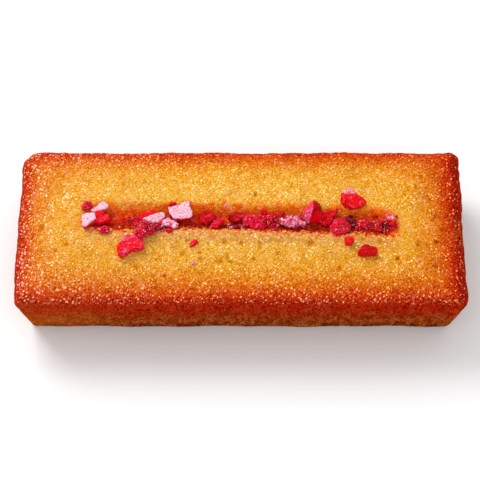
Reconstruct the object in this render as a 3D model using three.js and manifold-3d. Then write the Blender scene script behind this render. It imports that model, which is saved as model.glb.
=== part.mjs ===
// A bar financier: an almond butter cake baked in a flared rectangular tin, so that it is widest just under its
// browned rim. A long dimple down its crowned top holds crumbled freeze-dried berries, which are baked on.
// Millimetres, +Z up. The origin is the middle of the flat base, and +X runs along the bar.

import * as THREE from "three";
import { mergeVertices } from "three/addons/utils/BufferGeometryUtils.js";
import Module from "manifold-3d";

// Driving dimensions of the cake
const LENGTH = 90; // over the widest level
const WIDTH = 36.6;
const WIDEST_LEVEL = 11.5; // height at which the flared wall ends and the shoulder begins
const FLARE = 2.3; // how far the wall leans in on its way down from the widest level to the foot
const FOOT_RADIUS = 0.8; // rounding between wall and base
const SHOULDER_RADIUS = 2.4; // rounding between wall and top
const CROWN = 2.0; // rise of the top from the shoulder to the middle
const CORNER_RADIUS = { backLeft: 3.8, backRight: 1.9, frontLeft: 2.6, frontRight: 2.7 }; // at the widest level
const FOOT_CORNER_SHARE = 0.6; // corner radius at the foot, of that at the widest level
const EDGE_WAVE = { dip: 0.16, short: 1.9, long: 4.7 }; // depth and lengths of the dips in the uneven outline
const SIDE_PHASES = { left: 2.9, right: 1.1, front: 4.2, back: 0.3 }; // so that no two sides dip alike
const TOP_SWELL = { height: 0.14, broad: 6.1, cross: 4.3, fine: 3.1, fineShare: 0.6 }; // of the uneven top

// The dimple: a shallow valley that runs a little askew along the top and thins out at its ends
const DIMPLE = { from: -32.5, to: 32.5, width: 6.6, depth: 2.1, middleY: 0.5, skew: -0.027 };
const DIMPLE_END_POWER = 5; // the higher, the more suddenly the dimple ends
const DIMPLE_WALL_POWER = 1.5; // the higher, the softer the top of its walls
const LIP = { height: 0.22, place: 1.35, spread: 0.35 }; // raised edge, in halves of the dimple's width

// Grid of the cake's skin, closer where the rim turns over, where the dimple is and at the foot
const LENGTH_STEPS = 60;
const WIDTH_STEPS = 28;
const WALL_STEPS = 6;
const RIM_CROWDING = 0.55;
const DIMPLE_CROWDING = 0.5;
const FOOT_CROWDING = 1.6;
const FLAT_TOLERANCE = 0.002; // triangles flatter than this against each other are merged

// Broken slices of dried berry, from left to right. Each has the place of its middle, its thickness, how far it
// leans from lying flat to facing the front edge, in degrees, how far what lies under it props it up, and its
// outline as seen from above, in millimetres from its middle.
const SLICES = [
  {
    what: "pale flake behind the left end",
    at: [-28.2, 2.6], thick: 1.1, lean: 12, prop: 0.7,
    outline: [[-1.8, -0.7], [0.6, 1.4], [1.8, 0.6], [1.6, -0.1], [-0.9, -1.1]],
  },
  {
    what: "cut piece at the left end",
    at: [-30.3, 0.2], thick: 1.7, lean: 20, prop: 0.6,
    outline: [[-1.3, 1.0], [-0.4, 1.4], [1.2, 1.5], [1.4, 0.4], [-0.7, -1.6], [-1.2, -1.0]],
  },
  {
    what: "red piece beside it",
    at: [-27.6, 0.6], thick: 2.1, lean: 8, prop: 0.2,
    outline: [[-1.6, 1.0], [-0.5, 1.4], [1.5, 0.0], [1.3, -0.9], [-0.6, -1.5], [-1.9, -1.0]],
  },
  {
    what: "large red wedge before the dimple",
    at: [-21.7, -6.3], thick: 1.9, lean: 4, prop: 0,
    outline: [
      [-2.6, -0.9], [-2.3, -2.4], [-1.7, -2.3], [2.6, -0.7],
      [2.7, -0.1], [1.2, 2.3], [0.6, 2.4], [-1.5, 1.2],
    ],
  },
  {
    what: "red strip",
    at: [-18.6, 1.5], thick: 1.8, lean: 14, prop: 0.2,
    outline: [[-1.8, -0.3], [-1.1, 0.5], [1.7, 1.2], [1.9, 0.6], [0.9, -0.8], [-1.3, -1.2]],
  },
  {
    what: "pale flake over it",
    at: [-16.9, 0.6], thick: 1.1, lean: 16, prop: 1.0,
    outline: [[-2.1, 0.0], [1.1, 1.0], [1.9, 0.9], [2.1, 0.4], [0.4, -1.0], [-0.5, -0.9]],
  },
  {
    what: "pale flake before it",
    at: [-14.5, -0.9], thick: 1.1, lean: 12, prop: 0.7,
    outline: [[-2.0, 0.2], [0.0, 1.1], [1.8, 0.2], [1.9, -0.5], [1.5, -1.0], [-0.5, -0.5], [-1.9, -0.5]],
  },
  {
    what: "largest pale flake",
    at: [-11.9, 2.2], thick: 1.5, lean: 14, prop: 0.6,
    outline: [
      [-2.3, 0.5], [-1.7, 0.9], [-0.4, 1.0], [0.0, 1.5],
      [1.8, 1.8], [2.5, -1.2], [1.6, -1.6], [-1.5, -1.6],
    ],
  },
  {
    what: "red piece down in the dimple",
    at: [-6.9, 1.4], thick: 1.7, lean: 14, prop: 0,
    outline: [[-1.7, 0.6], [0.7, 1.4], [2.1, -0.1], [0.0, -1.6], [-1.2, -1.0]],
  },
  {
    what: "rough red piece on the near lip",
    at: [-4.6, -0.4], thick: 1.6, lean: 0, prop: 0.3,
    outline: [[-1.5, -0.7], [-0.4, 0.8], [1.5, 1.1], [-0.2, -1.1], [-1.0, -1.0]],
  },
  {
    what: "dark red piece",
    at: [-0.7, 1.4], thick: 1.5, lean: 16, prop: 0,
    outline: [[-1.7, 0.0], [-0.6, 0.8], [0.8, 1.0], [1.8, 0.4], [0.0, -1.2], [-1.3, -0.8]],
  },
  {
    what: "rough pale flake",
    at: [10.6, 0.0], thick: 1.6, lean: 10, prop: 0.5,
    outline: [[-2.6, -0.3], [-2.3, 0.6], [-1.4, 1.0], [0.8, 1.0], [2.7, -0.4], [2.5, -1.0], [-1.6, -0.9]],
  },
  {
    what: "upright piece",
    at: [14.4, 1.5], thick: 1.8, lean: 62, prop: 0.9,
    outline: [
      [-2.1, -1.7], [-1.6, 0.3], [-0.5, 2.0], [0.8, 2.5], [1.5, 2.0],
      [1.9, 0.7], [1.8, -0.7], [0.8, -2.3], [-0.6, -2.4],
    ],
  },
  {
    what: "red piece right of it",
    at: [17.7, 1.0], thick: 1.7, lean: 18, prop: 0.1,
    outline: [[-1.4, 0.2], [-0.9, 1.0], [1.7, 1.4], [0.6, -0.6], [0.4, -1.6], [-1.2, -1.6]],
  },
  {
    what: "red piece behind the dimple",
    at: [22.5, 4.4], thick: 2.1, lean: 14, prop: 0,
    outline: [
      [-2.3, -0.5], [-2.2, 0.7], [-1.5, 1.5], [0.6, 1.5],
      [2.5, -0.3], [2.1, -0.9], [-0.3, -1.6], [-1.7, -1.3],
    ],
  },
  {
    what: "pale piece at the right end",
    at: [30.1, -0.3], thick: 1.6, lean: 6, prop: 0.2,
    outline: [[-0.9, 0.5], [-0.3, 1.2], [0.5, 1.2], [0.8, -1.4], [0.2, -1.5]],
  },
  {
    what: "small red piece before the dimple",
    at: [21.7, -5.1], thick: 1.5, lean: 0, prop: 0,
    outline: [[-1.0, 0.3], [-0.4, 0.9], [0.6, 0.8], [1.0, 0.1], [0.5, -0.8], [-0.5, -0.8]],
  },
  {
    what: "red piece before it",
    at: [25.4, -7.3], thick: 1.6, lean: 4, prop: 0,
    outline: [[-2.0, -0.6], [-1.2, 0.9], [-0.6, 1.1], [1.6, 0.4], [1.9, 0.0], [1.2, -1.0], [-1.5, -1.0]],
  },
];

// Scraps of berry made up of drupelets: middle, then length, width and height, the turn of the length from the
// bar's in degrees, and the propping up
const SCRAPS = [
  { at: [-30.8, 3.2], size: [2.2, 1.9, 1.7], turn: 20, prop: 0 },
  { at: [-27.1, -2.4], size: [2.4, 1.5, 1.3], turn: -10, prop: 0 },
  { at: [-19.1, -2.5], size: [4.4, 3.4, 2.6], turn: 35, prop: 0.1 },
  { at: [-16.5, -1.8], size: [2.2, 1.8, 1.6], turn: 0, prop: 0 },
  { at: [1.7, 0.5], size: [2.4, 2.6, 2.2], turn: 10, prop: 0.2 },
  { at: [3.4, -0.3], size: [2.8, 3.4, 2.5], turn: -12, prop: 0.2 },
  { at: [6.0, 0.8], size: [4.0, 2.0, 2.0], turn: 12, prop: 0.1 },
  { at: [19.4, -1.6], size: [3.6, 3.3, 2.5], turn: 48, prop: 0.2 },
  { at: [21.7, 0.1], size: [2.4, 2.6, 2.2], turn: 0, prop: 0.2 },
  { at: [25.0, -0.6], size: [3.6, 2.0, 1.7], turn: -10, prop: 0.1 },
  { at: [28.3, -1.5], size: [3.0, 2.6, 2.3], turn: 0, prop: 0 },
];

// Loose crumbs of berry, given like the scraps
const CRUMBS = [
  { at: [-13.7, 3.7], size: [1.9, 1.2, 1.1], turn: 10, prop: 0 },
  { at: [-14.1, -2.7], size: [1.1, 1.0, 0.9], turn: 0, prop: 0 },
  { at: [-0.9, -1.0], size: [1.5, 1.0, 1.1], turn: 0, prop: 0.2 },
  { at: [4.6, 2.1], size: [1.6, 1.2, 1.8], turn: 0, prop: 0.3 },
  { at: [7.9, 1.6], size: [2.2, 1.0, 1.2], turn: 18, prop: 0.5 },
  { at: [-9.3, -5.5], size: [2.3, 1.2, 1.0], turn: 45, prop: 0 },
  { at: [-9.3, -9.6], size: [1.1, 0.9, 0.7], turn: 0, prop: 0 },
  { at: [27.0, 1.3], size: [1.2, 0.8, 0.8], turn: 0, prop: 0 },
];
const SUNK_SHARE = 0.2; // of a piece's height, baked into what it lies on
const SLICE_BEVEL = 0.35; // worn edge of a slice

// A scrap before it is brought to its size: a core of radius 1 with beads on a spiral round it
const DRUPELETS = 6;
const DRUPELET_RADIUS = { least: 0.55, most: 0.78 };
const DRUPELET_RING = { reach: 0.78, rise: 0.67, top: 0.95, fall: 1.1 };
const DRUPELET_STRAY = 0.5; // most that a bead strays along the spiral, in radians
const GOLDEN_ANGLE = Math.PI * (3 - Math.sqrt(5));

const HALF_LENGTH = LENGTH / 2;
const HALF_WIDTH = WIDTH / 2;
const wasm = await Module();
wasm.setup();

/** A seeded stream of numbers from 0 to 1, the same on every run. */
function seededNumbers(seed) {
  const modulus = 2147483647;
  let state = seed * 7919 + 17;
  return () => {
    state = (state * 16807) % modulus;
    return state / modulus;
  };
}

/** A closed three.js geometry as a solid that can be joined to others. */
function toSolid(geometry) {
  const bare = geometry.clone();
  bare.deleteAttribute("normal");
  bare.deleteAttribute("uv");
  const merged = mergeVertices(bare);
  return new wasm.Manifold(
    new wasm.Mesh({
      numProp: 3,
      vertProperties: merged.getAttribute("position").array,
      triVerts: new Uint32Array(merged.index.array),
    }),
  );
}

/** A solid as a three.js geometry. */
function toGeometry(solid) {
  const mesh = solid.getMesh();
  const geometry = new THREE.BufferGeometry();
  geometry.setAttribute("position", new THREE.BufferAttribute(mesh.vertProperties, 3));
  geometry.setIndex(new THREE.BufferAttribute(mesh.triVerts, 1));
  geometry.computeVertexNormals();
  return geometry;
}

/** The plan's corner radius in the quarter that holds the point. */
function cornerRadius(x, y) {
  if (y > 0) return x < 0 ? CORNER_RADIUS.backLeft : CORNER_RADIUS.backRight;
  return x < 0 ? CORNER_RADIUS.frontLeft : CORNER_RADIUS.frontRight;
}

/** How far a point of the top lies inside the widest outline, a rectangle with round corners. */
function insetFromRim(x, y) {
  const radius = cornerRadius(x, y);
  const beyondX = Math.abs(x) - (HALF_LENGTH - radius);
  const beyondY = Math.abs(y) - (HALF_WIDTH - radius);
  const outside = Math.hypot(Math.max(beyondX, 0), Math.max(beyondY, 0));
  return radius - outside - Math.min(Math.max(beyondX, beyondY), 0);
}

/** Depth of the dimple below the crowned top, negative on its raised lips. */
function dimpleDepth(x, y) {
  const halfRun = (DIMPLE.to - DIMPLE.from) / 2;
  const along = (x - (DIMPLE.from + DIMPLE.to) / 2) / halfRun;
  const fade = Math.max(0, 1 - Math.abs(along) ** DIMPLE_END_POWER);
  const across = (y - DIMPLE.middleY - DIMPLE.skew * x) / (DIMPLE.width / 2);
  const valley = Math.max(0, 1 - across * across) ** DIMPLE_WALL_POWER;
  const lips = Math.exp(-(((Math.abs(across) - LIP.place) / LIP.spread) ** 2));
  return fade * (DIMPLE.depth * valley - LIP.height * lips);
}

/** Slow swells that make the top look baked and not moulded. */
function topSwell(x, y) {
  const broad = Math.sin(x / TOP_SWELL.broad + 1) * Math.sin(y / TOP_SWELL.cross + x / LENGTH);
  const fine = Math.sin((x - y) / TOP_SWELL.fine);
  return TOP_SWELL.height * (broad + TOP_SWELL.fineShare * fine);
}

/** Height of the top over the base at a point inside the widest outline. */
function topHeight(x, y) {
  const inset = Math.max(0, insetFromRim(x, y));
  const turn = SHOULDER_RADIUS - Math.min(inset, SHOULDER_RADIUS);
  const shoulder = Math.sqrt(SHOULDER_RADIUS ** 2 - turn ** 2);
  const inward = Math.min(inset / HALF_WIDTH, 1);
  const rise = 1 - (1 - inward) ** 2;
  return WIDEST_LEVEL + shoulder + CROWN * rise + topSwell(x, y) * rise - dimpleDepth(x, y);
}

/** How far the uneven outline dips in, at a place along a side. */
function edgeDip(place, phase) {
  const waves = Math.sin(place / EDGE_WAVE.short + phase) + Math.sin(place / EDGE_WAVE.long + 2 * phase);
  return (EDGE_WAVE.dip / 2) * (2 + waves);
}

/** Presses the square corners of a plan point onto the round corners of its outline. */
function roundCorner(point, halfLength, halfWidth) {
  const tightness = THREE.MathUtils.lerp(FOOT_CORNER_SHARE, 1, point.z / WIDEST_LEVEL);
  const radius = cornerRadius(point.x, point.y) * tightness;
  const beyondX = Math.max(0, Math.abs(point.x) - (halfLength - radius));
  const beyondY = Math.max(0, Math.abs(point.y) - (halfWidth - radius));
  if (beyondX * beyondY === 0) return;
  const share = Math.max(beyondX, beyondY) / Math.hypot(beyondX, beyondY);
  point.x = Math.sign(point.x) * (halfLength - radius + beyondX * share);
  point.y = Math.sign(point.y) * (halfWidth - radius + beyondY * share);
}

/** How far the wall stands in from the widest outline at a height. */
function wallInset(height) {
  const lean = FLARE * (1 - height / WIDEST_LEVEL);
  const belowRounding = Math.max(0, FOOT_RADIUS - height);
  return lean + FOOT_RADIUS - Math.sqrt(FOOT_RADIUS ** 2 - belowRounding ** 2);
}

/** Moves a point of a cube that spans -1 to 1 onto the cake's skin. */
function shapeCakePoint(point) {
  const isTop = point.z === 1;
  const wallShare = (point.z + 1) / 2;
  const height = WIDEST_LEVEL * wallShare ** FOOT_CROWDING;
  const inset = wallInset(height);
  const halfLength = HALF_LENGTH - inset;
  const halfWidth = HALF_WIDTH - inset;
  const alongLength = (1 - RIM_CROWDING) * point.x + RIM_CROWDING * Math.sin((point.x * Math.PI) / 2);
  const alongWidth = point.y - (DIMPLE_CROWDING / (2 * Math.PI)) * Math.sin(2 * Math.PI * point.y);
  point.set(halfLength * alongLength, halfWidth * alongWidth, height);
  roundCorner(point, halfLength, halfWidth);
  if (isTop) point.z = topHeight(point.x, point.y);
  const { x, y } = point;
  point.x -= (x / HALF_LENGTH) * edgeDip(y, x > 0 ? SIDE_PHASES.right : SIDE_PHASES.left);
  point.y -= (y / HALF_WIDTH) * edgeDip(x, y > 0 ? SIDE_PHASES.back : SIDE_PHASES.front);
}

/** The bare cake: a gridded cube pressed into shape. */
function cakeSolid() {
  const cube = new THREE.BoxGeometry(2, 2, 2, LENGTH_STEPS, WIDTH_STEPS, WALL_STEPS);
  const position = cube.getAttribute("position");
  const point = new THREE.Vector3();
  for (let i = 0; i < position.count; i++) {
    shapeCakePoint(point.fromBufferAttribute(position, i));
    position.setXYZ(i, point.x, point.y, point.z);
  }
  return toSolid(cube).simplify(FLAT_TOLERANCE);
}

/** A scrap of berry with its drupelets: beads set on a spiral over a core. */
function scrapSolid(seed) {
  const draw = seededNumbers(seed);
  let solid = toSolid(new THREE.IcosahedronGeometry(1, 0));
  for (let i = 0; i < DRUPELETS; i++) {
    const height = DRUPELET_RING.top - (DRUPELET_RING.fall * i) / DRUPELETS;
    const reach = DRUPELET_RING.reach * Math.sqrt(1 - height * height);
    const angle = GOLDEN_ANGLE * i + DRUPELET_STRAY * draw();
    const radius = THREE.MathUtils.lerp(DRUPELET_RADIUS.least, DRUPELET_RADIUS.most, draw());
    const bead = new THREE.IcosahedronGeometry(radius, 0);
    bead.rotateX(Math.PI * draw());
    bead.translate(reach * Math.cos(angle), reach * Math.sin(angle), DRUPELET_RING.rise * height);
    solid = solid.add(toSolid(bead));
  }
  return solid;
}

/** A small rough crumb. */
function crumbSolid(seed) {
  const draw = seededNumbers(seed);
  const crumb = new THREE.IcosahedronGeometry(1, 0);
  crumb.rotateZ(2 * Math.PI * draw());
  return toSolid(crumb);
}

/** A solid stretched to fill a box of the given size round the origin. */
function fitted(solid, size) {
  const { min, max } = solid.boundingBox();
  const middle = min.map((low, axis) => (low + max[axis]) / 2);
  const stretch = size.map((wanted, axis) => wanted / (max[axis] - min[axis]));
  return solid.translate(middle.map((value) => -value)).scale(stretch);
}

/** Height of a berry piece's middle over the base. */
function restingHeight([x, y], height, prop) {
  return topHeight(x, y) + (0.5 - SUNK_SHARE) * height + prop;
}

/** One slice of berry in its place. */
function sliceSolid({ at, outline, thick, lean, prop }) {
  const shape = new THREE.Shape(outline.map(([x, y]) => new THREE.Vector2(x, y)));
  const slice = new THREE.ExtrudeGeometry(shape, {
    depth: thick - 2 * SLICE_BEVEL,
    bevelThickness: SLICE_BEVEL,
    bevelSize: SLICE_BEVEL,
    bevelOffset: -SLICE_BEVEL,
    bevelSegments: 1,
  });
  slice.translate(0, 0, SLICE_BEVEL - thick / 2);
  slice.rotateX(THREE.MathUtils.degToRad(lean));
  slice.translate(at[0], at[1], restingHeight(at, thick, prop));
  return toSolid(slice);
}

/** One scrap or crumb of berry, brought to its size and place. */
function placed(solid, { at, size, turn, prop }) {
  return fitted(solid, size)
    .rotate([0, 0, turn])
    .translate([at[0], at[1], restingHeight(at, size[2], prop)]);
}

const berries = [
  ...SLICES.map(sliceSolid),
  ...SCRAPS.map((scrap, index) => placed(scrapSolid(index + 1), scrap)),
  ...CRUMBS.map((crumb, index) => placed(crumbSolid(index + 1), crumb)),
];
const baked = berries.reduce((solid, berry) => solid.add(berry), cakeSolid());

const crust = new THREE.MeshStandardMaterial({ color: 0xd98a3a, roughness: 0.6, metalness: 0 });
const financier = new THREE.Mesh(toGeometry(baked), crust);
financier.name = "financier";

const part = new THREE.Group();
part.add(financier);

export default part;
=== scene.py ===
"""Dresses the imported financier: a finely grained, browned cake with crumbled dried berries in its dimple.

Shapes are worked out in millimetres, as in the part's source, and brought to metres when a piece is finished.
"""

import logging
import math
import random
from collections.abc import Iterator, Sequence
from dataclasses import dataclass, field
from enum import Enum

import bmesh
import bpy
from mathutils import Euler, Matrix, Vector, noise
from mathutils.kdtree import KDTree


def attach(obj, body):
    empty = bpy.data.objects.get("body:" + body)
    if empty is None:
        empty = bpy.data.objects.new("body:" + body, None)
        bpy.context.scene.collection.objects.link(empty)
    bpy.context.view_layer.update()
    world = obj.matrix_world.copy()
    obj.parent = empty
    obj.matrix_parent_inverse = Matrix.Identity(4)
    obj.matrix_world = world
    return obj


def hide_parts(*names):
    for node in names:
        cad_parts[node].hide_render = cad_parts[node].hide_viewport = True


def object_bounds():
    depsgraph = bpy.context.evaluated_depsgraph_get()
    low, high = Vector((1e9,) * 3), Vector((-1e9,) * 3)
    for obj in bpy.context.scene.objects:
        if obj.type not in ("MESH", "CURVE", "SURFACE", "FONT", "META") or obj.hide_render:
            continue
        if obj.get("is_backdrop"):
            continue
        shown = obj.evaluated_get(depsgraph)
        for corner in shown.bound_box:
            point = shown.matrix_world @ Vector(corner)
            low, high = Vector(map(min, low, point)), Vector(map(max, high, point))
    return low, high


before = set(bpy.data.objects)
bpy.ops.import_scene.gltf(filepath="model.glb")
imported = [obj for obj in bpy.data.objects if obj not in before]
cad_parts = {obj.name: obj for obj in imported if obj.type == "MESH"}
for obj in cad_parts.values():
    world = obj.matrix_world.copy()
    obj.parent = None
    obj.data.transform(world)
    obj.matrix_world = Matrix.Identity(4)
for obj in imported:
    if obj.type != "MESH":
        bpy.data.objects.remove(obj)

CAD_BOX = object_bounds()
CAD_NODE = "financier"
CAD_BODY = "root"
MM = 0.001
GOLDEN_ANGLE = math.pi * (3 - math.sqrt(5))
ORDER_DIGITS = 5
NOISE_SEED = 3
STUDIO_BRIGHTNESS = 1.25

Colour = tuple[float, float, float, float]
Point2 = tuple[float, float]
Point3 = tuple[float, float, float]
Range = tuple[float, float]
Stops = Sequence[tuple[float, Colour]]

log = logging.getLogger("financier")


def srgb(red: int, green: int, blue: int) -> Colour:
    """A colour as the eye reads it, 0 to 255, in the linear values that shaders take.

    Args:
        red: Red part, 0 to 255.
        green: Green part, 0 to 255.
        blue: Blue part, 0 to 255.

    Returns:
        The linear colour with full alpha.
    """
    parts = [c / 255 for c in (red, green, blue)]
    linear = [c / 12.92 if c <= 0.04045 else ((c + 0.055) / 1.055) ** 2.4 for c in parts]
    return (*linear, 1.0)


def surface(red: int, green: int, blue: int) -> Colour:
    """A surface's colour as it looks under the studio's light, so strong that the painted glints can outshine
    it.

    Args:
        red: Red part, 0 to 255.
        green: Green part, 0 to 255.
        blue: Blue part, 0 to 255.

    Returns:
        The darker linear colour that looks like that there, with full alpha.
    """
    linear = [part / STUDIO_BRIGHTNESS for part in srgb(red, green, blue)[:3]]
    return (*linear, 1.0)


def smoothstep(low: float, high: float, value: float) -> float:
    """A soft step from 0 at low to 1 at high; low may be the larger.

    Args:
        low: Where the step starts.
        high: Where the step ends.
        value: The number to place on it.

    Returns:
        The step's height, 0 to 1.
    """
    share = min(1.0, max(0.0, (value - low) / (high - low)))
    return share * share * (3 - 2 * share)


class Value:
    """A number, colour or vector that varies over a surface: a node's output, with arithmetic for numbers."""

    def __init__(self, graph: "Graph", socket: bpy.types.NodeSocket | None) -> None:
        """Wraps an output socket of a graph's node."""
        self.graph = graph
        self.socket = socket

    def _math(self, operation: str, first: "Value | float", second: "Value | float") -> "Value":
        """A Math node on two numbers."""
        return self.graph.node("Math", {"operation": operation}, {0: first, 1: second})

    def __add__(self, other: "Value | float") -> "Value":
        """Sum."""
        return self._math("ADD", self, other)

    def __radd__(self, other: float) -> "Value":
        """Sum with a plain number on the left."""
        return self._math("ADD", other, self)

    def __sub__(self, other: "Value | float") -> "Value":
        """Difference."""
        return self._math("SUBTRACT", self, other)

    def __rsub__(self, other: float) -> "Value":
        """Difference from a plain number."""
        return self._math("SUBTRACT", other, self)

    def __mul__(self, other: "Value | float") -> "Value":
        """Product."""
        return self._math("MULTIPLY", self, other)

    def __rmul__(self, other: float) -> "Value":
        """Product with a plain number on the left."""
        return self._math("MULTIPLY", other, self)

    def __pow__(self, other: float) -> "Value":
        """Power."""
        return self._math("POWER", self, other)

    def step(self, low: float, high: float) -> "Value":
        """A soft step from 0 at low to 1 at high."""
        settings = {"interpolation_type": "SMOOTHSTEP"}
        return self.graph.node("MapRange", settings, {"Value": self, "From Min": low, "From Max": high})

    def clamped(self) -> "Value":
        """The number kept between 0 and 1."""
        return self.graph.node("Clamp", {}, {"Value": self, "Min": 0.0, "Max": 1.0})


class Graph:
    """A material's node tree, built up node by node."""

    # A Mix node has sockets of the same name for numbers, vectors and colours, so its colours go by number.
    MIX_FACTOR = 0
    MIX_FIRST = 6
    MIX_SECOND = 7
    MIX_COLOUR = 2

    def __init__(self, name: str) -> None:
        """Starts an empty material of that name."""
        self.material = bpy.data.materials.new(name)
        self.material.use_nodes = True
        self.tree = self.material.node_tree
        self.tree.nodes.clear()

    def node(
        self, kind: str, settings: dict[str, object], sockets: dict[str | int, object], output: str | int = 0
    ) -> Value:
        """Adds a node.

        Args:
            kind: The node's type, without its ShaderNode prefix.
            settings: Its properties, which are set first; stops are a colour ramp's.
            sockets: Its inputs by name or number, each a Value to link or a plain value.
            output: The output to give back, by name or number.

        Returns:
            That output, or an empty Value for a node without outputs.
        """
        made = self.tree.nodes.new("ShaderNode" + kind)
        for name, setting in settings.items():
            if name == "stops":
                self._set_stops(made.color_ramp, setting)
            else:
                setattr(made, name, setting)
        for name, given in sockets.items():
            if isinstance(given, Value):
                self.tree.links.new(given.socket, made.inputs[name])
            else:
                made.inputs[name].default_value = given
        return Value(self, made.outputs[output] if made.outputs else None)

    @staticmethod
    def _set_stops(ramp: bpy.types.ColorRamp, stops: Stops) -> None:
        """Gives a colour ramp its stops.

        Args:
            ramp: The ramp, with the two stops that a new one has.
            stops: Position and colour of each stop, from left to right.
        """
        while len(ramp.elements) < len(stops):
            ramp.elements.new(1.0)
        for element, (position, colour) in zip(ramp.elements, stops):
            element.position = position
            element.color = colour

    def position(self) -> Value:
        """The point on the piece, in millimetres."""
        place = self.node("TexCoord", {}, {}, "Object")
        return self.node("VectorMath", {"operation": "SCALE"}, {0: place, "Scale": 1 / MM})

    def stretched(self, place: Value, stretch: Point3) -> Value:
        """A point with each axis multiplied."""
        return self.node("VectorMath", {"operation": "MULTIPLY"}, {0: place, 1: stretch})

    def slanted(self, place: Value, angle: float, stretch: float) -> Value:
        """A point whose pattern is drawn out along a slant, in degrees from the x axis."""
        turn = (0.0, 0.0, math.radians(angle))
        sockets = {"Vector": place, "Rotation": turn, "Scale": (stretch, 1.0, 1.0)}
        return self.node("Mapping", {"vector_type": "TEXTURE"}, sockets)

    def attribute(self, name: str) -> Value:
        """A number that the mesh holds at each vertex."""
        return self.node("Attribute", {"attribute_name": name}, {}, "Fac")

    def part(self, place: Value, axis: str) -> Value:
        """One part of a point: X, Y or Z."""
        return self.node("SeparateXYZ", {}, {0: place}, axis)

    def noise(self, place: Value, size: float, detail: float = 2.0, roughness: float = 0.5) -> Value:
        """Soft noise of about that feature size, 0 to 1 with its mean near a half."""
        sockets = {"Vector": place, "Scale": 1 / size, "Detail": detail, "Roughness": roughness}
        return self.node("TexNoise", {}, sockets, "Fac")

    def cells(self, place: Value, size: float, output: str) -> Value:
        """Cells of about that size: Distance from their middles, or a random Color each."""
        return self.node("TexVoronoi", {}, {"Vector": place, "Scale": 1 / size}, output)

    def cell_draw(self, place: Value, size: float, channel: str = "Red") -> Value:
        """One random number for each cell; each channel has its own."""
        return self.node("SeparateColor", {}, {0: self.cells(place, size, "Color")}, channel)

    def ramp(self, along: Value, stops: Stops) -> Value:
        """A colour from a ramp."""
        return self.node("ValToRGB", {"stops": stops}, {0: along}, "Color")

    def mix(
        self, factor: Value | float, first: Value | Colour, second: Value | Colour, blend: str = "MIX"
    ) -> Value:
        """Mixes two colours.

        Args:
            factor: How far the second one counts, 0 to 1.
            first: The colour underneath.
            second: The colour that comes on top.
            blend: The way of mixing, as Blender names it.

        Returns:
            The mixed colour.
        """
        settings = {"data_type": "RGBA", "blend_type": blend}
        sockets = {self.MIX_FACTOR: factor, self.MIX_FIRST: first, self.MIX_SECOND: second}
        return self.node("Mix", settings, sockets, self.MIX_COLOUR)

    def bump(self, height: Value, depth: float, under: Value | None = None) -> Value:
        """Relief in the normals.

        Args:
            height: The relief's height, about 0 to 1.
            depth: How many millimetres a height of 1 stands for.
            under: Normals of a coarser relief to build on.

        Returns:
            The normals.
        """
        sockets = {"Height": height, "Strength": 1.0, "Distance": depth * MM}
        return self.node("Bump", {}, sockets | ({"Normal": under} if under else {}))

    def finish(self, sockets: dict[str, object]) -> bpy.types.Material:
        """Closes the material with its surface shader.

        Args:
            sockets: Inputs of the surface shader.

        Returns:
            The material.
        """
        shader = self.node("BsdfPrincipled", {}, sockets)
        self.node("OutputMaterial", {}, {"Surface": shader})
        return self.material


@dataclass(frozen=True)
class Tint:
    """A colour that comes in where a pattern rises from start to end, as far as its share allows."""

    colour: Colour
    start: float
    end: float
    share: float = 1.0
    blend: str = "MIX"

    def over(
        self, graph: Graph, pattern: Value, under: Value | Colour, weight: Value | float = 1.0
    ) -> Value:
        """Lays the tint over a colour.

        Args:
            graph: The material's graph.
            pattern: Where the tint comes in.
            under: The colour underneath.
            weight: How far the tint counts there.

        Returns:
            The tinted colour.
        """
        factor = pattern.step(self.start, self.end) * (self.share * weight)
        return graph.mix(factor, under, self.colour, self.blend)


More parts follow.
